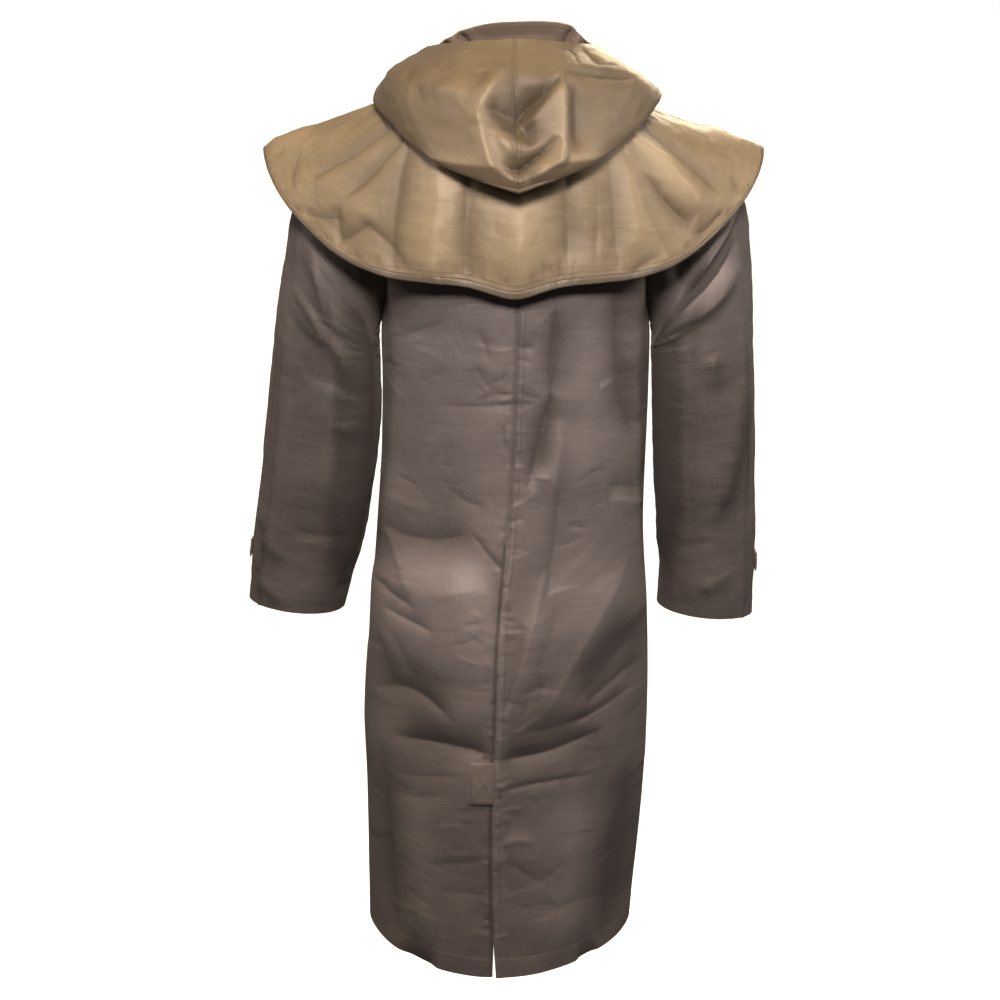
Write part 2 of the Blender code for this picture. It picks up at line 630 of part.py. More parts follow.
for side_name, side in (("left", LEFT), ("right", RIGHT)):
    top_sleeve = sleeve_surface(side, HIND_SEAM - math.pi, HIND_SEAM)
    under_sleeve = sleeve_surface(side, HIND_SEAM, HIND_SEAM + math.pi)
    cape_front = cape_surface(side * CAPE_SHOULDER_ANGLE, side * CAPE_EDGE_ANGLE)
    panel(f"back_{side_name}", back_surface(side), BACK_GRID)
    panel(f"front_{side_name}", front_surface(side), FRONT_GRID)
    cloth(f"sleeve_top_{side_name}", top_sleeve, SLEEVE_GRID, COAT_WALL, COAT_COLOUR)
    cloth(f"sleeve_under_{side_name}", under_sleeve, SLEEVE_GRID, COAT_WALL, COAT_COLOUR)
    cloth(f"hood_{side_name}", hood_surface(side), HOOD_GRID, HOOD_WALL, CAPE_COLOUR)
    cloth(f"cape_front_{side_name}", cape_front, CAPE_FRONT_GRID, CAPE_WALL, CAPE_COLOUR)

    tab_place, tab_half = CUFF_TABS[side_name], CUFF_TAB_WIDTH / SLEEVE_LENGTH / 2
    on_sleeve = laid_on(top_sleeve, SLEEVE_GRID, COAT_WALL / 2 + CUFF_TAB_EASE + TAB_WALL / 2)
    on_tab = laid_on(top_sleeve, SLEEVE_GRID, COAT_WALL / 2 + CUFF_TAB_EASE + TAB_WALL + SEAM_GAP)
    tab_rows = (tab_place - tab_half, tab_place + tab_half)
    cuff_tab = part_of(on_sleeve, CUFF_TAB_RUN, tab_rows)
    cloth(f"cuff_tab_{side_name}", cuff_tab, CUFF_TAB_GRID, TAB_WALL, COAT_COLOUR)
    stud(f"cuff_stud_{side_name}", part_of(on_tab, CUFF_TAB_RUN, tab_rows), CUFF_STUD_SHARE, 0.5)

cape_back = cape_surface(-CAPE_SHOULDER_ANGLE, CAPE_SHOULDER_ANGLE)
cloth("cape_back", cape_back, CAPE_BACK_GRID, CAPE_WALL, CAPE_COLOUR)
cloth("cape_binding", binding_surface, BINDING_GRID, BINDING_WALL, CAPE_COLOUR)
cloth("collar", collar_surface, COLLAR_GRID, COLLAR_WALL, COAT_COLOUR)

on_back = laid_on(back_surface(LEFT), BACK_GRID, COAT_WALL / 2 + VENT_TAB_EASE + TAB_WALL / 2)
vent_tab_height = (VENT_TAB_TOP_DROP / BACK_LENGTH, VENT_TAB_BOTTOM_DROP / BACK_LENGTH)
vent_tab = part_of(on_back, (0, VENT_TAB_SHARE), vent_tab_height)
cloth("vent_tab", vent_tab, VENT_TAB_GRID, TAB_WALL, COAT_COLOUR)

on_front = laid_on(front_surface(LEFT), FRONT_GRID, COAT_WALL / 2 + SEAM_GAP)
for number, drop in enumerate(FRONT_STUD_DROPS, start=1):
    stud(f"front_stud_{number}", on_front, FRONT_STUD_SHARE, drop / BACK_LENGTH)
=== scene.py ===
"""The finished look of a long hooded coat with a shoulder cape, seen from behind as it hangs when worn."""

import math
from collections import namedtuple

import bpy
import numpy as np
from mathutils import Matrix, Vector


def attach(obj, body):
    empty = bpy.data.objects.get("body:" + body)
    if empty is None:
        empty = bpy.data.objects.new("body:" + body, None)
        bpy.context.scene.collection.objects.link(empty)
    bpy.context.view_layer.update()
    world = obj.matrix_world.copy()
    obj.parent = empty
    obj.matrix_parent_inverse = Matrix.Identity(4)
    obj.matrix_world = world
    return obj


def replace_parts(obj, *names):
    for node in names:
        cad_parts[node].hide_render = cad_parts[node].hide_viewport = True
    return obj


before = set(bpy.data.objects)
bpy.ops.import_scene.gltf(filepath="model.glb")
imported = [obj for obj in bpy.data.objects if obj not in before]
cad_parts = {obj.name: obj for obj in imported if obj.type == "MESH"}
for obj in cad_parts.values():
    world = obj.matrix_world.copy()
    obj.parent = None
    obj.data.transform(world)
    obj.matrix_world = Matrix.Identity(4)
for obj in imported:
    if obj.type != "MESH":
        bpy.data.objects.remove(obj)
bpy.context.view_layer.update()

# Two back panels of close brown proofed cotton, cut from nape to hem and sewn together down the middle.
# The seam is left open below the seat as a vent, so the panels break into folds above and below its tab.
# Each panel is a thin shell on a table of levels, and its listed creases are pressed into it.
LEFT, RIGHT = -1, 1
NAMES = {LEFT: "left", RIGHT: "right"}
BACK, FRONT = -1, 1
QUARTER = math.pi / 2
COAT_WALL = 0.0016
SEAM_GAP = 0.0003
BACK_LENGTH = 1.216
SHOULDER_DROP = 0.085
UNDERARM_DROP = 0.335
NECK_FADE = 0.05
SIDE_FADE = 0.22
HEM_TURNING = 0.030
TURNING_LIFT, TURNING_EASE = 0.0007, 0.004
SEAM_SINK, SEAM_SINK_WIDTH = 0.0022, 0.0035
SEAM_CLOSENESS = 1.3
SEAM_PUCKER_TOP, SEAM_PUCKER_RUN = 0.36, 0.80
VENT_TOP_DROP, VENT_TOP_EASE = 0.60, 0.03
VENT_LAP_LIFT = {LEFT: -0.0010, RIGHT: 0.0032}
VENT_LAP_WIDTH = 0.011
VENT_UNDERLAP = 0.008
VENT_UNDERLAP_TOP, VENT_UNDERLAP_EASE = 0.972, 0.02
VENT_UNDERLAP_SINK, VENT_UNDERLAP_SINK_EASE = 0.0022, 0.003
VENT_SLIT_DROP = 1.165
VENT_OPENING = 0.0045
BACK_GRID = (112, 540)

BodyRow = namedtuple("BodyRow", "drop back seam left right edge_drop reach front front_drop")
BODY = (
    BodyRow(0.000, 0.080, 0.000, -0.080, 0.080, 0.024, 0.000, 0.066, 0.075),
    BodyRow(0.045, 0.112, 0.001, -0.137, 0.139, 0.049, 0.000, 0.084, 0.102),
    BodyRow(SHOULDER_DROP, 0.132, 0.002, -0.195, 0.198, 0.077, 0.000, 0.104, 0.132),
    BodyRow(0.140, 0.147, 0.003, -0.180, 0.184, 0.132, 0.050, 0.125, 0.172),
    BodyRow(0.205, 0.153, 0.004, -0.164, 0.170, 0.207, 0.078, 0.139, 0.222),
    BodyRow(0.275, 0.150, 0.004, -0.165, 0.171, 0.287, 0.060, 0.147, 0.282),
    BodyRow(UNDERARM_DROP, 0.145, 0.004, -0.1755, 0.181, 0.337, 0.000, 0.150, 0.337),
    BodyRow(0.420, 0.137, 0.001, -0.1755, 0.1815, 0.420, 0.000, 0.147, 0.420),
    BodyRow(0.520, 0.133, -0.003, -0.1785, 0.179, 0.520, 0.000, 0.143, 0.520),
    BodyRow(0.620, 0.137, -0.010, -0.186, 0.1775, 0.620, 0.000, 0.143, 0.620),
    BodyRow(0.740, 0.150, -0.020, -0.196, 0.1850, 0.740, 0.000, 0.146, 0.740),
    BodyRow(0.865, 0.157, -0.024, -0.2065, 0.1875, 0.865, 0.000, 0.150, 0.865),
    BodyRow(1.010, 0.160, -0.029, -0.2048, 0.1825, 1.008, 0.000, 0.154, 1.007),
    BodyRow(BACK_LENGTH, 0.166, -0.026, -0.2040, 0.167, 1.188, 0.000, 0.160, 1.195),
)

# A crease runs through three points of a piece's flat chart. width is how far it spreads to either side,
# lift how far it rises or, below 0, sinks, lean widens one side of it, and crisp sharpens its line.
Crease = namedtuple("Crease", "from_x from_y via_x via_y to_x to_y width lift lean crisp")
BACK_CREASES = (
    # Upper back, under the cape
    Crease(0.054, -0.285, 0.050, -0.365, 0.046, -0.435, 0.012, -0.0095, 0.20, 0.8),
    Crease(0.049, -0.410, 0.038, -0.465, 0.016, -0.545, 0.014, -0.0110, 0.10, 0.7),
    Crease(0.062, -0.440, 0.057, -0.500, 0.046, -0.570, 0.012, 0.0030, 0.00, 0.2),
    Crease(0.069, -0.470, 0.054, -0.600, 0.040, -0.705, 0.011, -0.0038, 0.20, 0.5),
    Crease(0.092, -0.300, 0.094, -0.420, 0.086, -0.560, 0.022, 0.0025, 0.00, 0.0),
    Crease(0.127, -0.260, 0.140, -0.380, 0.164, -0.505, 0.016, -0.0085, 0.00, 0.4),
    Crease(-0.106, -0.430, -0.030, -0.427, 0.040, -0.421, 0.007, -0.0024, -0.30, 0.9),
    Crease(-0.056, -0.427, -0.022, -0.412, 0.000, -0.416, 0.006, -0.0018, -0.20, 0.8),
    Crease(0.004, -0.412, 0.020, -0.414, 0.038, -0.420, 0.007, -0.0022, -0.20, 0.8),
    Crease(-0.165, -0.352, -0.125, -0.335, -0.083, -0.315, 0.008, -0.0024, -0.30, 0.9),
    Crease(0.004, -0.352, 0.015, -0.350, 0.028, -0.354, 0.006, -0.0020, 0.00, 0.4),
    Crease(-0.046, -0.325, -0.038, -0.345, -0.030, -0.372, 0.007, -0.0022, -0.20, 0.6),
    Crease(-0.048, -0.372, -0.040, -0.390, -0.030, -0.408, 0.007, -0.0015, -0.20, 0.5),
    Crease(-0.015, -0.448, -0.013, -0.470, -0.009, -0.494, 0.005, -0.0020, 0.00, 0.6),
    Crease(0.106, -0.412, 0.120, -0.405, 0.134, -0.398, 0.006, 0.0018, 0.00, 0.4),
    Crease(-0.098, -0.531, -0.062, -0.555, -0.034, -0.562, 0.006, -0.0018, -0.30, 0.9),
    Crease(-0.172, -0.566, -0.140, -0.571, -0.106, -0.578, 0.008, 0.0015, 0.30, 0.7),
    Crease(0.120, -0.543, 0.146, -0.548, 0.176, -0.560, 0.009, -0.0024, 0.00, 0.3),
    Crease(0.124, -0.562, 0.150, -0.569, 0.178, -0.584, 0.009, 0.0030, 0.00, 0.3),
    # The lit plane over the left seat and its borders
    Crease(-0.184, -0.603, -0.116, -0.612, -0.046, -0.594, 0.040, -0.0090, -0.25, 0.9),
    Crease(-0.200, -0.674, -0.110, -0.684, -0.016, -0.674, 0.088, 0.0185, -0.41, 0.0),
    Crease(-0.056, -0.594, -0.032, -0.626, -0.006, -0.654, 0.010, -0.0035, -0.50, 1.0),
    Crease(-0.176, -0.610, -0.156, -0.637, -0.130, -0.690, 0.012, 0.0035, 0.50, 0.6),
    Crease(-0.186, -0.680, -0.156, -0.692, -0.120, -0.707, 0.016, -0.0075, 0.20, 0.8),
    Crease(-0.170, -0.713, -0.134, -0.722, -0.098, -0.734, 0.012, -0.0065, 0.20, 0.8),
    Crease(-0.160, -0.733, -0.148, -0.770, -0.130, -0.812, 0.011, -0.0024, 0.20, 0.3),
    Crease(-0.182, -0.740, -0.172, -0.790, -0.158, -0.830, 0.011, -0.0024, 0.00, 0.3),
    Crease(-0.192, -0.838, -0.139, -0.819, -0.074, -0.860, 0.018, -0.0100, 0.30, 0.7),
    # The hollows between the seat and the fold across it
    Crease(-0.205, -0.790, -0.110, -0.796, -0.015, -0.812, 0.042, -0.0060, 0.00, 0.0),
    Crease(0.012, -0.806, 0.100, -0.792, 0.190, -0.760, 0.040, -0.0060, 0.00, 0.0),
    # The fold across the seat, left and right of the vent
    Crease(-0.168, -0.889, -0.093, -0.888, -0.022, -0.898, 0.019, -0.0125, 0.20, 0.7),
    Crease(-0.160, -0.940, -0.115, -0.934, -0.062, -0.926, 0.008, -0.0016, 0.00, 0.6),
    Crease(-0.170, -0.968, -0.130, -0.966, -0.088, -0.957, 0.009, -0.0018, 0.00, 0.5),
    Crease(0.044, -0.640, 0.018, -0.745, -0.018, -0.872, 0.012, 0.0038, 0.40, 0.4),
    Crease(0.012, -0.712, 0.004, -0.785, -0.018, -0.850, 0.007, -0.0030, 0.00, 0.5),
    Crease(0.060, -0.680, 0.040, -0.760, 0.006, -0.855, 0.012, -0.0022, 0.00, 0.2),
    Crease(0.164, -0.630, 0.100, -0.740, 0.042, -0.850, 0.036, 0.0080, -0.40, 0.6),
    Crease(0.192, -0.730, 0.140, -0.785, 0.070, -0.845, 0.032, -0.0085, 0.00, 0.2),
    Crease(0.098, -0.839, 0.135, -0.818, 0.182, -0.791, 0.011, -0.0048, 0.20, 0.6),
    Crease(0.078, -0.863, 0.115, -0.850, 0.168, -0.825, 0.009, -0.0048, 0.20, 0.7),
    Crease(-0.030, -0.904, 0.044, -0.899, 0.130, -0.872, 0.019, -0.0125, 0.20, 0.7),
    Crease(0.010, -0.862, 0.060, -0.864, 0.120, -0.846, 0.020, -0.0050, 0.00, 0.3),
    Crease(-0.020, -0.951, 0.035, -0.939, 0.118, -0.937, 0.008, -0.0042, 0.00, 0.8),
    Crease(-0.022, -0.946, -0.012, -0.938, 0.002, -0.935, 0.004, 0.0014, 0.00, 0.3),
    Crease(-0.020, -0.979, -0.002, -0.974, 0.014, -0.976, 0.004, 0.0014, 0.00, 0.3),
    # The skirt below it
    Crease(-0.028, -0.999, -0.016, -0.990, -0.002, -0.987, 0.004, 0.0014, 0.00, 0.3),
    Crease(-0.018, -1.030, 0.004, -1.018, 0.032, -1.026, 0.008, 0.0024, 0.00, 0.2),
    Crease(-0.114, -1.057, -0.070, -1.052, -0.028, -1.042, 0.010, -0.0024, 0.00, 0.6),
    Crease(-0.102, -1.100, -0.070, -1.094, -0.034, -1.098, 0.008, -0.0014, 0.00, 0.5),
    Crease(-0.020, -1.045, 0.015, -1.066, 0.052, -1.094, 0.008, -0.0016, 0.20, 0.5),
    Crease(0.030, -1.110, 0.060, -1.118, 0.092, -1.108, 0.009, -0.0014, 0.00, 0.3),
    Crease(-0.176, -0.900, -0.172, -1.030, -0.158, -1.205, 0.016, -0.0060, 0.00, 0.3),
    Crease(-0.135, -0.950, -0.128, -1.060, -0.118, -1.205, 0.024, 0.0035, 0.00, 0.0),
    Crease(0.092, -0.940, 0.078, -1.080, 0.056, -1.215, 0.030, 0.0060, 0.00, 0.0),
    Crease(0.166, -0.920, 0.150, -1.060, 0.118, -1.215, 0.026, -0.0090, 0.00, 0.1),
    Crease(-0.170, -1.232, -0.138, -1.240, -0.106, -1.246, 0.045, -0.0140, 0.00, 0.0),
    Crease(0.132, -1.232, 0.108, -1.238, 0.084, -1.240, 0.042, -0.0120, 0.00, 0.0),
)
CREASE_STEPS = 40
CREASE_SPREAD = 5.0
CREASE_BLUNTNESS = 4
CREASE_END_WIDTH = 0.5
CREASE_POWER, CREASE_SHARPENING = 1.55, 0.75


def curves_through(stops, stations, place, *curve):
    """Smooth curves through stations at their stops, at places between. curve picks one for each place."""
    number = np.arange(len(stops))
    before, after = np.maximum(number - 1, 0), np.minimum(number + 1, len(stops) - 1)
    runs = (stops[after] - stops[before]).reshape(-1, *[1] * (stations.ndim - 1))
    slopes = (stations[after] - stations[before]) / runs
    start = np.clip(np.searchsorted(stops, place, side="right") - 1, 0, len(stops) - 2)
    span = (stops[start + 1] - stops[start])[..., None]
    part = (np.asarray(place) - stops[start])[..., None] / span
    ease = part**2 * (3 - 2 * part)
    here, beyond = (start, *curve), (start + 1, *curve)
    held = stations[here] * (1 - ease) + stations[beyond] * ease
    leave = slopes[here] * part * (1 - part) ** 2 * span
    arrive = slopes[beyond] * part**2 * (part - 1) * span
    return held + leave + arrive


def row_at(rows, place):
    """Each column of a table, at places along its first column, on smooth curves through its rows."""
    values = np.array(rows, float)
    columns = curves_through(values[:, 0], values, place)
    return type(rows[0])(*np.moveaxis(columns, -1, 0))


def smooth(value):
    """0 below 0, 1 above 1 and an even ease between."""
    value = np.clip(value, 0, 1)
    return value * value * (3 - 2 * value)


def unit(vectors):
    """Vectors of length 1, the same way as the given ones."""
    return vectors / np.linalg.norm(vectors, axis=-1, keepdims=True)


def relief(creases, across, down):
    """How far the creases lift the cloth at points of its flat chart."""
    height = np.zeros_like(across)
    share = np.linspace(0, 1, CREASE_STEPS)[:, None]
    for crease in creases:
        start = np.array((crease.from_x, crease.from_y))
        via = np.array((crease.via_x, crease.via_y))
        end = np.array((crease.to_x, crease.to_y))
        bend = 2 * via - (start + end) / 2
        line = start * (1 - share) ** 2 + 2 * bend * share * (1 - share) + end * share**2
        low = line.min(axis=0) - CREASE_SPREAD * crease.width
        high = line.max(axis=0) + CREASE_SPREAD * crease.width
        near = (across > low[0]) & (across < high[0]) & (down > low[1]) & (down < high[1])
        if not near.any():
            continue
        spots = np.stack([across[near], down[near]], axis=-1)
        steps = np.gradient(line, axis=0)
        stride = np.linalg.norm(steps, axis=1)
        heading = steps / stride[:, None]
        nearest = np.argmin(((spots[:, None] - line) ** 2).sum(axis=-1), axis=1)
        off = spots - line[nearest]
        ahead = heading[nearest]
        aside = ahead[:, 0] * off[:, 1] - ahead[:, 1] * off[:, 0]
        along = (nearest + (off * ahead).sum(axis=1) / stride[nearest]) / (CREASE_STEPS - 1)
        fade = (1 - (2 * np.clip(along, 0, 1) - 1) ** CREASE_BLUNTNESS) ** 2
        spread = crease.width * (1 + crease.lean * np.sign(aside))
        spread = spread * (CREASE_END_WIDTH + (1 - CREASE_END_WIDTH) * fade)
        power = CREASE_POWER - CREASE_SHARPENING * crease.crisp
        height[near] += crease.lift * fade * np.exp(-((np.abs(aside) / spread) ** power))
    return height


Wave = namedtuple("Wave", "height size seed")
WAVE_RUNS = 9
WAVE_SIZES = (0.6, 1.7)


def unevenness(waves, across, down):
    """The slight waviness of cloth that has been folded and hung, with waves of about each size."""
    height = np.zeros_like(across)
    for wave in waves:
        chance = np.random.default_rng(wave.seed)
        for _ in range(WAVE_RUNS):
            heading = chance.uniform(0, math.pi)
            length = wave.size * chance.uniform(*WAVE_SIZES)
            phase = chance.uniform(0, 2 * math.pi)
            run = across * math.cos(heading) + down * math.sin(heading)
            height += wave.height * np.sin(run * 2 * math.pi / length + phase) * 2 / WAVE_RUNS
    return height


PUCKER_PLACES = (0.1, 0.9)
PUCKER_LENGTHS = (0.4, 1.3)
PUCKER_TURN = 0.35
PUCKER_WIDTHS = (0.0025, 0.0045)
PUCKER_CRISP = 0.2


def puckers(place, count, reach, length, lift, seed):
    """Short creases that a row of sewing draws up: place gives the seam's point for a share of its run."""
    chance = np.random.default_rng(seed)
    made = []
    for number in range(count):
        x, y, run_x, run_y = place((number + chance.uniform(*PUCKER_PLACES)) / count)
        far = length * chance.uniform(*PUCKER_LENGTHS)
        near = reach * chance.uniform(0.0, 1.0)
        turn = chance.uniform(-PUCKER_TURN, PUCKER_TURN)
        way_x = run_x * math.cos(turn) - run_y * math.sin(turn)
        way_y = run_x * math.sin(turn) + run_y * math.cos(turn)
        points = [(x + way_x * at, y + way_y * at) for at in (near, near + far / 2, near + far)]
        width = chance.uniform(*PUCKER_WIDTHS)
        rise = lift * chance.uniform(-1.0, 1.0)
        made.append(Crease(*points[0], *points[1], *points[2], width, rise, 0, PUCKER_CRISP))
    return tuple(made)


WORN_HALF_LENGTHS = (0.008, 0.032)
WORN_STRAY = 0.45
WORN_BOW = 0.25
WORN_DEPTHS = (0.0004, 0.0015)
WORN_WAYS = (-1, -1, 1)
WORN_LEANS = (-0.6, 0.6)
WORN_WIDTH = 0.26
WORN_CRISP = 0.9


def worn_creases(count, left, right, top, bottom, slant, seed):
    """Small sharp creases that folding and wear have left over an area of a chart, mostly along a slant."""
    chance = np.random.default_rng(seed)
    made = []
    for _ in range(count):
        x, y = chance.uniform(left, right), chance.uniform(bottom, top)
        half = chance.uniform(*WORN_HALF_LENGTHS)
        way = math.radians(slant) + chance.normal(0, WORN_STRAY)
        run_x, run_y = half * math.cos(way), half * math.sin(way)
        bow = chance.uniform(-WORN_BOW, WORN_BOW)
        lift = chance.uniform(*WORN_DEPTHS) * chance.choice(WORN_WAYS)
        lean = chance.choice(WORN_LEANS)
        made.append(Crease(
            x - run_x, y - run_y, x - bow * run_y, y + bow * run_x, x + run_x, y + run_y,
            half * WORN_WIDTH, lift, lean, WORN_CRISP,
        ))
    return tuple(made)


def body_point(side, face, turn, drop, out=0.0):
    """Points of the coat's body. turn is 0 on the centre line and a quarter turn on the side edge."""
    row = row_at(BODY, drop)
    edge = row.right if side == RIGHT else row.left
    if face == BACK:
        centre, depth, centre_z = row.seam, row.back, -row.drop
    else:
        centre, depth, centre_z = (row.left + row.right) / 2, row.front, -row.front_drop
    reach = np.maximum(row.reach, 0)
    across, along = np.sin(turn), np.cos(turn)
    x = centre + (edge - centre) * across
    y = face * (reach + (depth - reach) * along)
    z = centre_z + (-row.edge_drop - centre_z) * across**2
    outward = unit(np.stack([across * depth * side, face * along * np.abs(edge - centre), 0 * x], axis=-1))
    return np.stack([x, y, z], axis=-1) + outward * np.asarray(out)[..., None]


def outward_of(points):
    """The way out of the cloth at each point of a grid of points."""
    outward = unit(np.cross(np.gradient(points, axis=1), np.gradient(points, axis=0)))
    row, column = points.shape[0] // 3, points.shape[1] // 2
    out_here = (outward[row, column, :2] * points[row, column, :2]).sum()
    return outward if out_here > 0 else -outward


def grid_of(size):
    """Shares of the way across and down, for a grid of cells."""
    columns, rows = size
    return np.meshgrid(np.linspace(0, 1, columns + 1), np.linspace(0, 1, rows + 1))


class Wire:
    """A socket of a material's nodes. Arithmetic on it adds Math nodes."""

    def __init__(self, tree, socket=None):
        self.tree = tree
        self.socket = socket

    def node(self, kind, settings, sockets, output=0):
        """A new node of a kind, with its settings and then the values or links of its sockets."""
        made = self.tree.nodes.new("ShaderNode" + kind)
        for name, value in settings.items():
            if name == "stops":
                for stop, (place, colour) in zip(made.color_ramp.elements, value):
                    stop.position = place
                    stop.color = (*colour, 1)
            else:
                setattr(made, name, value)
        for name, value in sockets.items():
            if isinstance(value, Wire):
                self.tree.links.new(value.socket, made.inputs[name])
            else:
                made.inputs[name].default_value = value
        return Wire(self.tree, made.outputs[output])

    def maths(self, operation, first, second=0.0):
        return self.node("Math", {"operation": operation}, {0: first, 1: second})

    def __add__(self, other):
        return self.maths("ADD", self, other)

    def __radd__(self, other):
        return self.maths("ADD", other, self)

    def __sub__(self, other):
        return self.maths("SUBTRACT", self, other)

    def __rsub__(self, other):
        return self.maths("SUBTRACT", other, self)

    def __mul__(self, other):
        return self.maths("MULTIPLY", self, other)

    def __rmul__(self, other):
        return self.maths("MULTIPLY", other, self)

    def sine(self):
        return self.maths("SINE", self)

    def noise(self, place, scale, detail, roughness=0.5, distortion=0.0):
        """Cloudy values from 0 to 1, as fine as their scale."""
        shape = {"Scale": scale, "Detail": detail, "Roughness": roughness, "Distortion": distortion}
        return self.node("TexNoise", {}, {"Vector": place, **shape})

    def stretched(self, place, scale):
        """A place whose axes are scaled each by its own amount."""
        return self.node("Mapping", {}, {"Vector": place, "Scale": scale})

    def blend(self, factor, first, second):
        """A mix of two colours."""
        return self.node("Mix", {"data_type": "RGBA"}, {0: factor, 6: first, 7: second}, output=2)

    def bump(self, strength, distance, height, **under):
        """A bumped surface, over the one under it where there is one."""
        return self.node("Bump", {}, {"Strength": strength, "Distance": distance, "Height": height, **under})

    def feed(self, shader, name):
        """Lead the wire to a socket of a shader."""
        self.tree.links.new(self.socket, shader.inputs[name])


def set_sockets(shader, values):
    """Fixed values of a shader's own sockets."""
    for name, value in values.items():
        shader.inputs[name].default_value = value


def new_material(name):
    """A new material, its shader and a wire on its nodes."""
    material = bpy.data.materials.new(name)
    material.use_nodes = True
    return material, material.node_tree.nodes["Principled BSDF"], Wire(material.node_tree)


COTTON_THREAD = 0.0011
COTTON_SLUBS = (700.0, 45.0, 1.0)
COTTON_PICKS = (16.0, 340.0, 1.0)
# Share of the cloth's colour that comes from its grain and its painted crease shade
COTTON_GRAIN_AND_SHADE = 0.74
COTTON_ROUGHNESS = 0.42
COTTON_FINISH = {
    "Specular IOR Level": 0.6,
    "Specular Tint": (1.0, 0.80, 0.62, 1),
    "Sheen Weight": 0.10,
    "Sheen Roughness": 0.45,
    "Sheen Tint": (1.0, 0.86, 0.68, 1),
}


def proofed_cotton(name, colour, pale, dark):
    """Close proofed cotton: an even weave with a few slubs, with painted shade in its creases and a painted
    highlight on its ridges.
    """
    material, shader, wire = new_material(name)
    place = wire.node("UVMap", {"uv_map": "cloth"}, {})
    split = wire.node("SeparateXYZ", {}, {0: place})
    across, down = (Wire(wire.tree, output) for output in split.socket.node.outputs[:2])
    turn = 2 * math.pi / COTTON_THREAD
    weave = (across * turn).sine() * (down * turn).sine()
    slub = wire.noise(wire.stretched(place, COTTON_SLUBS), scale=1.0, detail=2.0) - 0.5
    pick = wire.noise(wire.stretched(place, COTTON_PICKS), scale=1.0, detail=2.0) - 0.5
    cloud = wire.noise(place, scale=9.0, detail=3.0, roughness=0.6) - 0.5
    rumple = wire.noise(place, scale=60.0, detail=5.0, roughness=0.6)
    folds = wire.noise(place, scale=22.0, detail=3.0, distortion=0.6) - 0.5
    crush = wire.maths("ABSOLUTE", folds)
    # The crease height makes painted shade and highlight: hollows are coloured darker and ridges paler, as
    # light falls on folds. Slubs, picks and cloud are the cloth's own tone.
    crease = wire.node("Attribute", {"attribute_name": "crease"}, {}, output=2)
    grain = slub * 0.22 + pick * 0.34 + weave * 0.05
    tone = 0.5 + grain + cloud * 0.3 + crease * 0.42
    grain_and_crease_shade = wire.node("ValToRGB", {"stops": ((0.15, dark), (0.85, pale))}, {0: tone})
    wire.blend(COTTON_GRAIN_AND_SHADE, (*colour, 1), grain_and_crease_shade).feed(shader, "Base Color")
    gloss = COTTON_ROUGHNESS + cloud * 0.16 + slub * 0.12 - crease * 0.05
    gloss.feed(shader, "Roughness")
    set_sockets(shader, COTTON_FINISH)
    threads = wire.bump(0.5, 0.0003, weave * 0.35 + slub * 0.5 + pick * 0.5)
    rumpled = wire.bump(0.25, 0.0010, rumple, Normal=threads)
    wire.bump(1.0, 0.0018, crush, Normal=rumpled).feed(shader, "Normal")
    return material


Panel = namedtuple("Panel", "piece points outward wall")
# Crease depth at which the painted crease shade is at its darkest
CREASE_SHADE_DEPTH = 0.008
SHARP_EDGE = math.radians(62)


def lay_map(mesh, flat):
    """Each corner's place on the flat chart, in metres, as the map that the weave follows."""
    cloth_map = mesh.uv_layers.new(name="cloth")
    used = np.zeros(len(mesh.loops), np.int32)
    mesh.loops.foreach_get("vertex_index", used)
    cloth_map.data.foreach_set("uv", flat[used].astype(np.float32).ravel())


def shell_mesh(name, points, outward, wall, chart, height):
    """A closed thin shell on a grid of points, finer outside than inside, with its flat chart as its map."""
    rows, columns = points.shape[:2]
    outside = np.arange(rows * columns).reshape(rows, columns)
    inside = np.arange(outside[::2, ::2].size).reshape(outside[::2, ::2].shape) + rows * columns

    def cells(grid):
        corners = [grid[:-1, :-1], grid[:-1, 1:], grid[1:, 1:], grid[1:, :-1]]
        return np.stack(corners, axis=-1).reshape(-1, 4)

    def edge(grid):
        return np.concatenate([grid[0, :-1], grid[:-1, -1], grid[-1, :0:-1], grid[:0:-1, 0]])

    def both(field):
        """A field's values at the corners outside and then inside."""
        width = field[0, 0].size
        return np.concatenate([field.reshape(-1, width), field[::2, ::2].reshape(-1, width)])

    outer, inner = edge(outside), edge(inside)
    rim = [np.roll(outer, -2)[::2], np.roll(outer, -1)[::2], outer[::2], inner, np.roll(inner, -1)]
    faces = cells(outside).tolist() + cells(inside)[:, ::-1].tolist() + np.stack(rim, axis=-1).tolist()
    across, down = points[1, 1] - points[1, 0], points[1, 0] - points[0, 0]
    if np.dot(np.cross(across, down), outward[0, 0]) < 0:
        faces = [face[::-1] for face in faces]
    facing = np.ones(rows * columns + inside.size)
    facing[rows * columns:] = -1
    corners = both(points) + both(outward) * facing[:, None] * wall / 2
    mesh = bpy.data.meshes.new(name)
    mesh.from_pydata(corners.tolist(), [], faces)
    mesh.update()
    lay_map(mesh, both(np.stack(chart, axis=-1)))
    # Each corner's crease height, which the cloth's colour turns into painted shade in hollows and a painted
    # highlight on ridges
    tone = both(np.clip(height / CREASE_SHADE_DEPTH, -1, 1))
    shade = mesh.attributes.new("crease", "FLOAT", "POINT")
    shade.data.foreach_set("value", tone.astype(np.float32).ravel())
    mesh.shade_smooth()
    mesh.set_sharp_from_angle(angle=SHARP_EDGE)
    return mesh


def add(name, mesh, material):
    """A finished piece of the coat, which rides with it."""
    mesh.materials.append(material)
    piece = bpy.data.objects.new(name, mesh)
    bpy.context.scene.collection.objects.link(piece)
    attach(piece, "root")
    return piece


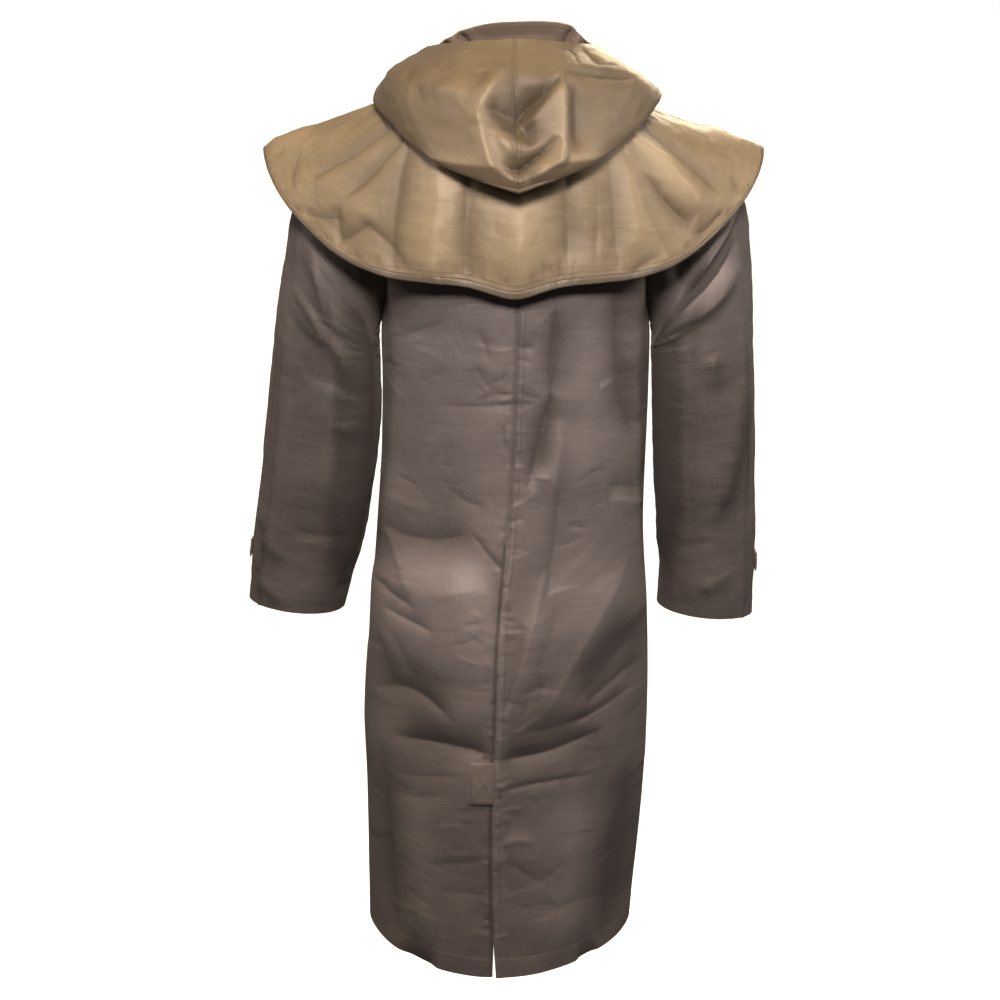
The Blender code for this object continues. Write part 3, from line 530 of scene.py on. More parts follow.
def cloth(name, points, chart, height, wall, material, nodes=()):
    """A piece of cloth on its smooth form, creased by a height at each point, for its plain solids."""
    creased = points + outward_of(points) * height[..., None]
    outward = outward_of(creased)
    mesh = shell_mesh(name + "_cloth", creased, outward, wall, chart, height)
    piece = add(name + "_cloth", mesh, material)
    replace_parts(piece, *(nodes or (name,)))
    return Panel(piece, creased, outward, wall)


def on_panel(panel, across, down, lift=0.0):
    """Points of a panel's outer face at shares of its way across and down, and the way out there."""
    rows, columns = panel.points.shape[:2]
    x = np.clip(across, 0, 1) * (columns - 1)
    y = np.clip(down, 0, 1) * (rows - 1)
    i, j = np.minimum(x.astype(int), columns - 2), np.minimum(y.astype(int), rows - 2)
    a, b = (x - i)[..., None], (y - j)[..., None]

    def at(field):
        upper = field[j, i] * (1 - a) + field[j, i + 1] * a
        lower = field[j + 1, i] * (1 - a) + field[j + 1, i + 1] * a
        return upper * (1 - b) + lower * b

    outward = unit(at(panel.outward))
    return at(panel.points) + outward * (panel.wall / 2 + lift), outward


STITCH_PITCH = 0.0036
STITCH_LENGTH = 0.0029
STITCH_WIDTH = 0.0008
STITCH_HEIGHT = 0.0005
# One stitch: its two ends dive into the cloth and its waist is a flat diamond. Along, aside and up.
STITCH_POINTS = np.array([
    (-0.50, 0.0, -0.5), (-0.26, -0.5, 0.2), (-0.26, 0.0, 1.0), (-0.26, 0.5, 0.2), (-0.26, 0.0, -0.5),
    (0.26, -0.5, 0.2), (0.26, 0.0, 1.0), (0.26, 0.5, 0.2), (0.26, 0.0, -0.5), (0.50, 0.0, -0.5),
])
STITCH_FACES = np.array([
    (0, 2, 1, 1), (0, 3, 2, 2), (0, 4, 3, 3), (0, 1, 4, 4), (1, 2, 6, 5), (2, 3, 7, 6),
    (3, 4, 8, 7), (4, 1, 5, 8), (9, 5, 6, 6), (9, 6, 7, 7), (9, 7, 8, 8), (9, 8, 5, 5),
])


def stitching(name, lines, material):
    """Rows of lockstitch as one mesh. Each line is points on the cloth and the way out of it there."""
    corners, faces = [], []
    for points, outward in lines:
        lengths = np.linalg.norm(np.diff(points, axis=0), axis=1)
        run = np.concatenate([[0], np.cumsum(lengths)])
        middles = np.arange(STITCH_PITCH, run[-1] - STITCH_PITCH / 2, STITCH_PITCH)
        if not len(middles):
            continue

        def at(field, places):
            return np.stack([np.interp(places, run, field[:, axis]) for axis in range(3)], axis=-1)

        up = unit(at(outward, middles))
        ahead = at(points, middles + STITCH_LENGTH / 2) - at(points, middles - STITCH_LENGTH / 2)
        ahead = unit(ahead - up * (ahead * up).sum(axis=-1, keepdims=True))
        aside = np.cross(up, ahead)
        template = STITCH_POINTS * (STITCH_LENGTH, STITCH_WIDTH, STITCH_HEIGHT)
        made = at(points, middles)[:, None] + sum(
            way[:, None] * template[None, :, axis, None] for axis, way in enumerate((ahead, aside, up))
        )
        first = sum(len(block) for block in corners) + np.arange(len(middles)) * len(template)
        corners.append(made.reshape(-1, 3))
        faces.append((STITCH_FACES[None] + first[:, None, None]).reshape(-1, 4))
    mesh = bpy.data.meshes.new(name)
    quads = [list(dict.fromkeys(face)) for face in np.concatenate(faces).tolist()]
    mesh.from_pydata(np.concatenate(corners).tolist(), [], quads)
    mesh.shade_smooth()
    return add(name, mesh, material)


THREAD_DARKER = 0.62
THREAD_PATCHES = 260.0
THREAD_TWIST = 900.0


def sewing_thread(name, colour):
    """Twisted polyester thread, with a slight change of tone from stitch to stitch."""
    material, shader, wire = new_material(name)
    place = wire.node("TexCoord", {}, {}, output=3)
    patches = wire.noise(place, scale=THREAD_PATCHES, detail=1.0)
    darker = tuple(THREAD_DARKER * part for part in colour)
    wire.blend(patches, (*darker, 1), (*colour, 1)).feed(shader, "Base Color")
    (0.42 + patches * 0.2).feed(shader, "Roughness")
    twist = wire.node("TexWave", {}, {"Vector": place, "Scale": THREAD_TWIST})
    wire.bump(0.4, 0.0001, twist).feed(shader, "Normal")
    return material


coat_cotton = proofed_cotton(
    "coat_cotton", colour=(0.186, 0.142, 0.122), pale=(0.284, 0.216, 0.186), dark=(0.066, 0.050, 0.043)
)
coat_thread = sewing_thread("coat_thread", (0.085, 0.066, 0.056))
BACK_WEAR = worn_creases(count=150, left=-0.20, right=0.19, top=-0.29, bottom=-1.20, slant=4, seed=31)
BACK_WAVES = (Wave(0.0014, 0.14, 3), Wave(0.0006, 0.045, 4))


def stretches(name):
    """The solids that a long panel of the body stands for."""
    return [f"{name}_{stretch}" for stretch in ("yoke", "waist", "skirt")]


def vent_underlap(drop):
    """How far the left back runs on under the right one, from below the tab to the corners at the hem."""
    begun = smooth((drop - VENT_UNDERLAP_TOP) / VENT_UNDERLAP_EASE)
    return VENT_UNDERLAP * begun * smooth((VENT_SLIT_DROP - drop) / VENT_UNDERLAP_EASE)


def swell(height, aside, width):
    """A rise or, below 0, a groove along a line, at distances aside of it."""
    return height * np.exp(-((aside / width) ** 2))


def turning(down, length, depth):
    """The low step of an edge that is turned in to a depth, at distances down a piece of a length."""
    return TURNING_LIFT * smooth((down - length + depth) / TURNING_EASE)


def back_panel(side):
    """One back, from the centre seam round to the side seam."""
    across, down = grid_of(BACK_GRID)
    drop = down * BACK_LENGTH
    row = row_at(BODY, drop)
    edge = row.right if side == RIGHT else row.left
    opening = smooth((drop - VENT_SLIT_DROP) / (BACK_LENGTH - VENT_SLIT_DROP)) * VENT_OPENING
    inset = (SEAM_GAP + opening) / 2 - (vent_underlap(drop) if side == LEFT else 0.0)
    start = np.arcsin(inset / np.abs(edge - row.seam))
    end = np.arccos(SEAM_GAP / 2 / row.back)
    turn = start + (end - start) * across**SEAM_CLOSENESS
    points = body_point(side, BACK, turn, drop)
    x, z = points[..., 0], points[..., 2]

    def seam_at(share):
        here = SEAM_PUCKER_TOP + share * SEAM_PUCKER_RUN
        return float(row_at(BODY, np.array(here)).seam), -here, float(side), 0.0

    drawn = puckers(seam_at, count=46, reach=0.002, length=0.018, lift=0.0013, seed=11 + side)
    height = relief(BACK_CREASES + BACK_WEAR + drawn, x, z) + unevenness(BACK_WAVES, x, z)
    from_seam = x - row.seam
    height -= swell(SEAM_SINK, from_seam, SEAM_SINK_WIDTH)
    lap = VENT_LAP_LIFT[side] * smooth((drop - VENT_TOP_DROP) / VENT_TOP_EASE)
    height += swell(lap, from_seam, VENT_LAP_WIDTH)
    height += turning(drop, BACK_LENGTH, HEM_TURNING)
    height *= smooth(np.cos(turn) / SIDE_FADE) * smooth(drop / NECK_FADE)
    height -= VENT_UNDERLAP_SINK * smooth(from_seam * -side / VENT_UNDERLAP_SINK_EASE)
    name = f"back_{NAMES[side]}"
    return cloth(name, points, (x, z), height, COAT_WALL, coat_cotton, stretches(name))


backs = {side: back_panel(side) for side in (LEFT, RIGHT)}


def seam_line(panel, inset, top, bottom, steps=400):
    """A line down a back panel, an inset away from the centre seam, between two drops."""
    down = np.linspace(top, bottom, steps) / BACK_LENGTH
    width = np.linalg.norm(np.diff(panel.points, axis=1), axis=2).sum(axis=1)
    if panel is backs[LEFT]:
        inset = inset + vent_underlap(down * BACK_LENGTH)
    share = (inset / np.interp(down, np.linspace(0, 1, len(width)), width)) ** (1 / SEAM_CLOSENESS)
    return on_panel(panel, share, down)


def cross_line(panel, down, run=(0.01, 0.99), steps=160):
    """A line across a panel at a share of its way down, between two shares of its way across."""
    return on_panel(panel, np.linspace(*run, steps), np.full(steps, down))


def down_line(panel, across, run, steps):
    """A line down a panel at a share of its way across, between two shares of its way down."""
    return on_panel(panel, np.full(steps, across), np.linspace(*run, steps))


hem_share = 1 - HEM_TURNING / BACK_LENGTH
back_lines = [
    seam_line(backs[RIGHT], inset=0.0035, top=0.30, bottom=0.66),
    seam_line(backs[RIGHT], inset=0.0085, top=0.30, bottom=1.20),
    seam_line(backs[LEFT], inset=0.0045, top=0.67, bottom=1.20),
    cross_line(backs[LEFT], hem_share),
    cross_line(backs[RIGHT], hem_share),
]
stitching("back_stitching", back_lines, coat_thread)

# The fronts are two panels of the same cotton that run from the side to past the centre.
# The left one laps over the right and is closed by press studs. They hang straighter than the back.
FRONT_LAP = 0.030
FRONT_LAP_LIFT, FRONT_LAP_EASE = 0.0048, 0.035
SIDE_SEAM_LAP, SIDE_SEAM_LAP_EASE = 0.003, 0.02
SEAM_TUCK, SEAM_TUCK_EASE = 0.0021, 0.0035
FRONT_EDGE_STITCHES, FRONT_LAP_STITCHES = 0.018, 0.27
FRONT_STITCH_RUN = (0.01, 0.995)
FRONT_GRID = (60, 170)
FRONT_WEAR = worn_creases(count=90, left=-0.20, right=0.18, top=-0.29, bottom=-1.20, slant=0, seed=32)
FRONT_WAVES = (Wave(0.0012, 0.13, 5), Wave(0.0005, 0.035, 6))
FRONT_CREASES = (
    Crease(-0.105, -0.340, -0.104, -0.600, -0.095, -0.920, 0.022, -0.0075, 0.20, 0.2),
    Crease(0.102, -0.380, 0.108, -0.650, 0.122, -1.000, 0.022, -0.0075, -0.20, 0.2),
    Crease(-0.070, -0.400, -0.064, -0.560, -0.060, -0.700, 0.014, 0.0030, 0.00, 0.1),
    Crease(0.072, -0.440, 0.070, -0.560, 0.064, -0.760, 0.014, 0.0030, 0.00, 0.1),
    Crease(-0.165, -0.630, -0.110, -0.648, -0.045, -0.690, 0.014, -0.0070, 0.30, 0.3),
    Crease(0.165, -0.690, 0.110, -0.715, 0.050, -0.765, 0.014, -0.0062, -0.30, 0.3),
    Crease(-0.160, -0.655, -0.110, -0.672, -0.060, -0.700, 0.012, 0.0030, 0.00, 0.0),
    Crease(-0.170, -0.830, -0.115, -0.850, -0.060, -0.845, 0.012, -0.0050, 0.30, 0.3),
    Crease(0.165, -0.850, 0.110, -0.880, 0.065, -0.870, 0.012, -0.0050, -0.30, 0.3),
    Crease(-0.140, -0.900, -0.128, -1.050, -0.118, -1.190, 0.022, 0.0065, 0.00, 0.1),
    Crease(0.115, -0.900, 0.106, -1.050, 0.100, -1.190, 0.022, 0.0065, 0.00, 0.1),
    Crease(-0.090, -0.940, -0.085, -1.060, -0.080, -1.190, 0.018, -0.0040, 0.00, 0.1),
    Crease(0.070, -0.940, 0.066, -1.060, 0.060, -1.190, 0.018, -0.0040, 0.00, 0.1),
    Crease(-0.120, -0.300, -0.090, -0.330, -0.050, -0.350, 0.010, -0.0035, 0.00, 0.2),
    Crease(0.125, -0.300, 0.090, -0.335, 0.055, -0.350, 0.010, -0.0035, 0.00, 0.2),
    Crease(-0.130, -0.480, -0.100, -0.500, -0.070, -0.530, 0.009, -0.0030, 0.00, 0.2),
    Crease(0.130, -0.530, 0.100, -0.548, 0.070, -0.575, 0.009, -0.0030, 0.00, 0.2),
)


def front_panel(side):
    """One front, from past the centre round to under the back's edge at the side seam."""
    across, down = grid_of(FRONT_GRID)
    drop = down * BACK_LENGTH
    row = row_at(BODY, drop)
    half = (row.right - row.left) / 2
    start = -np.arcsin(FRONT_LAP / half)
    lap = SIDE_SEAM_LAP * smooth((drop - UNDERARM_DROP) / SIDE_SEAM_LAP_EASE)
    end = np.arccos((SEAM_GAP / 2 - lap) / row.front)
    turn = start + (end - start) * across
    out = 0.0 * turn
    if side == LEFT:
        out = FRONT_LAP_LIFT * smooth(1 - (np.sin(turn) * half - FRONT_LAP) / FRONT_LAP_EASE)
    points = body_point(side, FRONT, turn, drop, out)
    x, z = points[..., 0], points[..., 2]
    height = relief(FRONT_CREASES + FRONT_WEAR, x, z) + unevenness(FRONT_WAVES, x, z)
    height += turning(drop, BACK_LENGTH, HEM_TURNING)
    height *= smooth(np.cos(turn) / SIDE_FADE) * smooth(drop / NECK_FADE)
    height -= SEAM_TUCK * smooth((SIDE_SEAM_LAP - points[..., 1]) / SEAM_TUCK_EASE) * (lap > 0)
    name = f"front_{NAMES[side]}"
    return cloth(name, points, (x, z), height, COAT_WALL, coat_cotton, stretches(name))


fronts = {side: front_panel(side) for side in (LEFT, RIGHT)}

front_lines = [
    down_line(fronts[LEFT], FRONT_EDGE_STITCHES, FRONT_STITCH_RUN, steps=400),
    down_line(fronts[LEFT], FRONT_LAP_STITCHES, FRONT_STITCH_RUN, steps=400),
    down_line(fronts[RIGHT], FRONT_EDGE_STITCHES, FRONT_STITCH_RUN, steps=400),
    cross_line(fronts[LEFT], hem_share),
    cross_line(fronts[RIGHT], hem_share),
]
stitching("front_stitching", front_lines, coat_thread)

# Two-piece sleeves of the same cotton: a top sleeve over the outside and front of the arm and an under one.
# Their seams run down the back and the inside of the arm, and the cuffs are turned in and stitched.
ARMHOLE_GAP = 0.0010
SLEEVE_SEAM_GAP = 0.0007
SLEEVE_LENGTH = 0.70
SLEEVE_RADIUS = 0.07
SLEEVE_CAP = 0.16
HIND_SEAM = math.radians(45)
SLEEVE_SEAM_LAP = 0.003
SLEEVE_SEAM_SINK, SLEEVE_SEAM_SINK_WIDTH = 0.0012, 0.004
FORE_SEAM_FADE = 0.015
ARMHOLE_CALM, ARMHOLE_CALM_EASE = 0.01, 0.09
CUFF_TURNING = 0.022
SLEEVE_STITCHES, SLEEVE_STITCH_RUN = 0.985, (0.06, 0.99)
SLEEVE_GRID = (64, 220)
SleeveRow = namedtuple("SleeveRow", "along outer_x outer_z inner_x inner_z depth centre_y")
SLEEVES = {
    LEFT: (
        SleeveRow(0.00, 0.195, -0.077, 0.1765, -0.337, 0.080, 0.000),
        SleeveRow(0.10, 0.250, -0.103, 0.1795, -0.346, 0.086, 0.000),
        SleeveRow(0.20, 0.286, -0.165, 0.1802, -0.354, 0.083, 0.000),
        SleeveRow(0.32, 0.304, -0.255, 0.1805, -0.370, 0.078, 0.000),
        SleeveRow(0.44, 0.319, -0.345, 0.1803, -0.388, 0.075, 0.000),
        SleeveRow(0.55, 0.329, -0.425, 0.1800, -0.448, 0.074, 0.004),
        SleeveRow(0.67, 0.340, -0.510, 0.1868, -0.528, 0.073, 0.010),
        SleeveRow(0.80, 0.3525, -0.607, 0.2040, -0.624, 0.071, 0.017),
        SleeveRow(0.91, 0.362, -0.679, 0.2220, -0.695, 0.068, 0.022),
        SleeveRow(1.00, 0.367, -0.727, 0.2345, -0.742, 0.066, 0.026),
    ),
    RIGHT: (
        SleeveRow(0.00, 0.198, -0.077, 0.1820, -0.337, 0.080, 0.000),
        SleeveRow(0.10, 0.253, -0.103, 0.1848, -0.346, 0.086, 0.000),
        SleeveRow(0.20, 0.301, -0.165, 0.1855, -0.354, 0.083, 0.000),
        SleeveRow(0.32, 0.3145, -0.250, 0.1860, -0.368, 0.078, 0.000),
        SleeveRow(0.44, 0.3205, -0.345, 0.1872, -0.382, 0.075, 0.000),
        SleeveRow(0.55, 0.325, -0.425, 0.1900, -0.440, 0.074, 0.004),
        SleeveRow(0.67, 0.3295, -0.515, 0.1935, -0.520, 0.072, 0.010),
        SleeveRow(0.80, 0.3323, -0.608, 0.1985, -0.608, 0.070, 0.017),
        SleeveRow(0.91, 0.3340, -0.680, 0.2030, -0.678, 0.068, 0.022),
        SleeveRow(1.00, 0.3335, -0.749, 0.2010, -0.737, 0.066, 0.026),
    ),
}
# On a chart of the way round from the outer edge towards the back, and the way down
SLEEVE_CREASES = {
    LEFT: (
        Crease(0.062, 0.150, 0.098, 0.205, 0.126, 0.275, 0.010, -0.0076, 0.20, 0.9),
        Crease(0.050, 0.240, 0.105, 0.272, 0.156, 0.366, 0.010, -0.0082, 0.20, 0.9),
        Crease(0.056, 0.262, 0.088, 0.280, 0.120, 0.300, 0.006, -0.0037, 0.00, 0.8),
        Crease(0.080, 0.352, 0.128, 0.358, 0.160, 0.374, 0.004, 0.0027, 0.00, 0.6),
        Crease(0.122, 0.424, 0.142, 0.416, 0.160, 0.405, 0.006, -0.0031, 0.00, 0.7),
        Crease(0.092, 0.565, 0.130, 0.566, 0.184, 0.557, 0.004, 0.0026, 0.00, 0.6),
        Crease(0.022, 0.560, 0.055, 0.590, 0.092, 0.610, 0.012, -0.0051, 0.20, 0.6),
        Crease(0.028, 0.630, 0.062, 0.660, 0.100, 0.682, 0.010, -0.0044, 0.20, 0.6),
        Crease(0.030, 0.300, 0.034, 0.400, 0.040, 0.500, 0.014, -0.0034, 0.00, 0.3),
        # The flat of the inner side, which turns sharply away from the back. Its deep hollow is coloured
        # near black with painted shade.
        Crease(0.112, 0.150, 0.122, 0.340, 0.128, 0.630, 0.012, 0.0050, 0.00, 0.6),
        Crease(0.156, 0.110, 0.164, 0.380, 0.166, 0.680, 0.030, -0.0200, 0.20, 0.2),
        # Front of the arm
        Crease(-0.040, 0.320, -0.090, 0.360, -0.140, 0.400, 0.012, -0.0071, 0.20, 0.6),
        Crease(-0.050, 0.390, -0.095, 0.410, -0.140, 0.420, 0.010, -0.0051, 0.20, 0.6),
        Crease(-0.070, 0.180, -0.100, 0.240, -0.130, 0.310, 0.012, -0.0061, 0.20, 0.6),
    ),
    RIGHT: (
        Crease(0.118, 0.066, 0.132, 0.105, 0.146, 0.145, 0.010, 0.0093, 0.00, 0.5),
        Crease(0.048, 0.142, 0.091, 0.138, 0.134, 0.142, 0.010, -0.0105, 0.00, 0.7),
        Crease(0.055, 0.160, 0.098, 0.190, 0.148, 0.160, 0.012, 0.0099, 0.30, 0.5),
        Crease(0.060, 0.205, 0.100, 0.232, 0.150, 0.205, 0.014, -0.0082, 0.00, 0.6),
        Crease(0.192, 0.235, 0.168, 0.243, 0.140, 0.248, 0.006, -0.0041, 0.00, 0.7),
        Crease(0.101, 0.318, 0.099, 0.346, 0.097, 0.378, 0.012, -0.0054, 0.00, 0.4),
        Crease(0.044, 0.325, 0.066, 0.455, 0.108, 0.560, 0.014, -0.0076, 0.20, 0.4),
        Crease(0.168, 0.606, 0.135, 0.592, 0.098, 0.582, 0.004, 0.0026, 0.00, 0.6),
        Crease(0.072, 0.634, 0.100, 0.650, 0.130, 0.664, 0.010, -0.0044, 0.00, 0.5),
        # The flat of the inner side. Its deep hollow is coloured near black with painted shade.
        Crease(0.130, 0.180, 0.138, 0.340, 0.142, 0.630, 0.012, 0.0040, 0.00, 0.5),
        Crease(0.168, 0.110, 0.176, 0.380, 0.180, 0.680, 0.028, -0.0190, 0.20, 0.2),
        # Front of the arm
        Crease(-0.040, 0.340, -0.090, 0.360, -0.140, 0.350, 0.012, -0.0071, 0.20, 0.6),
        Crease(-0.050, 0.400, -0.095, 0.410, -0.140, 0.395, 0.010, -0.0051, 0.20, 0.6),
        Crease(-0.070, 0.190, -0.100, 0.250, -0.130, 0.300, 0.012, -0.0061, 0.20, 0.6),
    ),
}
SLEEVE_WEAR = {
    side: worn_creases(count=70, left=-0.16, right=0.26, top=0.68, bottom=0.10, slant=20, seed=34 + side)
    for side in (LEFT, RIGHT)
}
SLEEVE_WAVES = (Wave(0.0011, 0.10, 7), Wave(0.0004, 0.03, 8))
# The sleeves' cotton is painted darker than the coat's, with a near-black dark end: painted shade for
# sleeves under the cape and for their inner sides, turned to the body.
sleeve_cotton_painted_shade = proofed_cotton(
    "sleeve_cotton_painted_shade", colour=(0.150, 0.114, 0.098), pale=(0.228, 0.173, 0.149), dark=(0.028, 0.021, 0.018)
)


def armhole_point(side, around):
    """Points of the armhole's edge, just clear of the body's wall. around starts at the shoulder."""
    drop = SHOULDER_DROP + (UNDERARM_DROP - SHOULDER_DROP) * (1 - np.cos(around)) / 2
    quarter = np.full_like(around, QUARTER)
    behind = body_point(side, BACK, quarter, drop)
    before = body_point(side, FRONT, quarter, drop)
    edge = np.where((np.sin(around) > 0)[..., None], behind, before)
    return edge + np.array((side * (COAT_WALL / 2 + ARMHOLE_GAP), 0, 0))


def sleeve_piece(part, side, start, end):
    """One piece of a sleeve, between two angles round the arm. Its first edge goes under the other piece."""
    across, along = grid_of(SLEEVE_GRID)
    seam = SLEEVE_SEAM_GAP / 2 / SLEEVE_RADIUS
    first = start + seam - SLEEVE_SEAM_LAP / SLEEVE_RADIUS
    around = first + (end - seam - first) * across
    row = row_at(SLEEVES[side], along)
    outer = np.stack([side * row.outer_x, row.centre_y, row.outer_z], axis=-1)
    inner = np.stack([side * row.inner_x, row.centre_y, row.inner_z], axis=-1)
    backward = np.array((0, -1, 0)) * (row.depth * np.sin(around))[..., None]
    round_arm = (outer + inner) / 2 + (outer - inner) / 2 * np.cos(around)[..., None] + backward
    cap = smooth(along / SLEEVE_CAP)[..., None]
    points = armhole_point(side, around) * (1 - cap) + round_arm * cap
    x, y = around * SLEEVE_RADIUS, along * SLEEVE_LENGTH
    height = relief(SLEEVE_CREASES[side] + SLEEVE_WEAR[side], x, y) + unevenness(SLEEVE_WAVES, x, y)
    for seam_at in (start, end):
        height -= swell(SLEEVE_SEAM_SINK, (around - seam_at) * SLEEVE_RADIUS, SLEEVE_SEAM_SINK_WIDTH)
    height += turning(y, SLEEVE_LENGTH, CUFF_TURNING)
    fore_seam = np.minimum(np.abs(around - HIND_SEAM + math.pi), np.abs(around - HIND_SEAM - math.pi))
    height *= smooth(fore_seam * SLEEVE_RADIUS / FORE_SEAM_FADE)
    from_start = (around - start) * SLEEVE_RADIUS
    height -= SEAM_TUCK * smooth((SLEEVE_SEAM_LAP - from_start) / SEAM_TUCK_EASE)
    height *= smooth((along - ARMHOLE_CALM) / ARMHOLE_CALM_EASE)
    node = f"sleeve_{part}_{NAMES[side]}"
    return cloth(node, points, (x, y), height, COAT_WALL, sleeve_cotton_painted_shade)


top_sleeves, under_sleeves = {}, {}
for side in (LEFT, RIGHT):
    top_sleeves[side] = sleeve_piece("top", side, HIND_SEAM - math.pi, HIND_SEAM)
    under_sleeves[side] = sleeve_piece("under", side, HIND_SEAM, HIND_SEAM + math.pi)
    cuff_share = 1 - CUFF_TURNING / SLEEVE_LENGTH
    sleeve_lines = [
        down_line(top_sleeves[side], SLEEVE_STITCHES, SLEEVE_STITCH_RUN, steps=300),
        cross_line(top_sleeves[side], cuff_share),
        cross_line(under_sleeves[side], cuff_share),
    ]
    stitching(f"sleeve_stitching_{NAMES[side]}", sleeve_lines, coat_thread)

# Tabs of doubled cotton, edge-stitched: one holds the top of the vent together and one closes each cuff.
# Each lies flat on the cloth under it, and follows that cloth's creases.
TAB_WALL = 0.0022
TAB_GRID = (26, 26)
VENT_TAB_SHARE = 0.114
VENT_TAB_TOP_DROP = 0.908
VENT_TAB_BOTTOM_DROP = 0.965
VENT_TAB_LIFT = 0.0027
CUFF_TAB_RUN = (0.8, 0.4)
CUFF_TAB_WIDTH = 0.026
CUFF_TAB_LIFT = 0.0028
CUFF_TABS = {LEFT: 0.875, RIGHT: 0.905}
TAB_EDGE_DROP, TAB_EDGE_EASE = 0.0007, 0.0015
TAB_STITCH_INSET = 0.10
TAB_STITCH_STEPS = 60
TAB_WAVES = (Wave(0.0003, 0.012, 9),)
tab_cotton = proofed_cotton(
    "tab_cotton", colour=(0.236, 0.180, 0.142), pale=(0.340, 0.260, 0.205), dark=(0.100, 0.076, 0.060)
)


def tab(node, panel, across_range, down_range, lift):
    """A tab on part of a panel, with its edges eased down to the cloth."""
    across, down = grid_of(TAB_GRID)
    under = across_range[0] + (across_range[1] - across_range[0]) * across
    beside = down_range[0] + (down_range[1] - down_range[0]) * down
    points, outward = on_panel(panel, under, beside, lift)
    width = np.linalg.norm(np.diff(points[0], axis=0), axis=1).sum()
    length = np.linalg.norm(np.diff(points[:, 0], axis=0), axis=1).sum()
    border = np.minimum(np.minimum(across, 1 - across) * width, np.minimum(down, 1 - down) * length)
    points = points - outward * (TAB_EDGE_DROP * np.exp(-border / TAB_EDGE_EASE))[..., None]
    chart = across * width, down * length
    height = unevenness(TAB_WAVES, *chart)
    return cloth(node, points, chart, height, TAB_WALL, tab_cotton), width, length


def frame_lines(panel, inset_x, inset_y, cross):
    """Stitches round the edge of a tab, and a cross of stitches over it where there is one."""
    run_x, run_y = (inset_x, 1 - inset_x), (inset_y, 1 - inset_y)
    lines = [cross_line(panel, down, run_x, TAB_STITCH_STEPS) for down in run_y]
    lines += [down_line(panel, across, run_y, TAB_STITCH_STEPS) for across in run_x]
    if cross:
        x, y = np.linspace(*run_x, TAB_STITCH_STEPS), np.linspace(*run_y, TAB_STITCH_STEPS)
        lines += [on_panel(panel, x, y), on_panel(panel, x, y[::-1])]
    return lines


vent_share = VENT_TAB_SHARE ** (1 / SEAM_CLOSENESS)
vent_rows = (VENT_TAB_TOP_DROP / BACK_LENGTH, VENT_TAB_BOTTOM_DROP / BACK_LENGTH)
vent_tab, tab_width, tab_length = tab("vent_tab", backs[LEFT], (0.0, vent_share), vent_rows, VENT_TAB_LIFT)
tab_lines = frame_lines(vent_tab, TAB_STITCH_INSET, TAB_STITCH_INSET * tab_width / tab_length, True)
cuff_tabs = {}
for side, place in CUFF_TABS.items():
    half = CUFF_TAB_WIDTH / SLEEVE_LENGTH / 2
    cuff_rows = (place - half, place + half)
    cuff_tab, tab_width, tab_length = tab(
        f"cuff_tab_{NAMES[side]}", top_sleeves[side], CUFF_TAB_RUN, cuff_rows, CUFF_TAB_LIFT
    )
    cuff_tabs[side] = cuff_tab
    tab_lines += frame_lines(cuff_tab, TAB_STITCH_INSET * tab_length / tab_width, TAB_STITCH_INSET, False)
stitching("tab_stitching", tab_lines, coat_thread)

# The shoulder cape is cut in a back and two fronts, joined on the shoulders and sewn in at the neck.
# It stands off the shoulders in loose flutes, and its stitched hem is drawn up into small puckers.
CAPE_WALL = 0.0020
CAPE_SHOULDER_GAP = 0.0009
CAPE_NECK_LIFT = 0.0060
NECK_HALF_WIDTH, NECK_BACK, NECK_FRONT = 0.080, 0.080, 0.066
NECK_SIDE_DROP, NECK_FRONT_DROP = 0.024, 0.075
CAPE_HALF_WIDTH, CAPE_BACK, CAPE_FRONT = 0.328, 0.176, 0.170
CAPE_EDGE_ANGLE = math.radians(155)
CAPE_SHOULDER_ANGLE = math.radians(95)
CAPE_TIP_ROUNDING = 3.5
CAPE_CHART_RADIUS = 0.25
CAPE_CHART_LENGTH = 0.30
CAPE_NECK_CALM, CAPE_NECK_CALM_EASE = 0.02, 0.10
CAPE_PUCKER_REACH, CAPE_PUCKER_DOWN = 0.30, 0.292
CAPE_HEM_STITCHES, CAPE_HEM_RUN, CAPE_FRONT_HEM_RUN = 0.985, (0.005, 0.995), (0.01, 0.97)
CAPE_SHOULDER_STITCHES, CAPE_EDGE_STITCHES = (0.010, 0.990), 0.975
CAPE_STITCH_RUN = (0.1, 0.98)
BINDING_SHARE = 0.022
CAPE_BACK_GRID = (480, 110)
CAPE_FRONT_GRID = (60, 60)
CapeRow = namedtuple("CapeRow", "angle hem_drop out down")
CAPE = (
    CapeRow(0, 0.292, 0.99, 0.18),
    CapeRow(10, 0.270, 0.98, 0.19),
    CapeRow(20, 0.264, 0.97, 0.22),
    CapeRow(30, 0.258, 0.95, 0.26),
    CapeRow(42, 0.237, 0.91, 0.39),
    CapeRow(62, 0.178, 0.84, 0.54),
    CapeRow(78, 0.132, 0.77, 0.60),
    CapeRow(90, 0.109, 0.73, 0.66),
    CapeRow(105, 0.130, 0.77, 0.60),
    CapeRow(130, 0.200, 0.88, 0.42),
    CapeRow(155, 0.245, 0.94, 0.32),
)
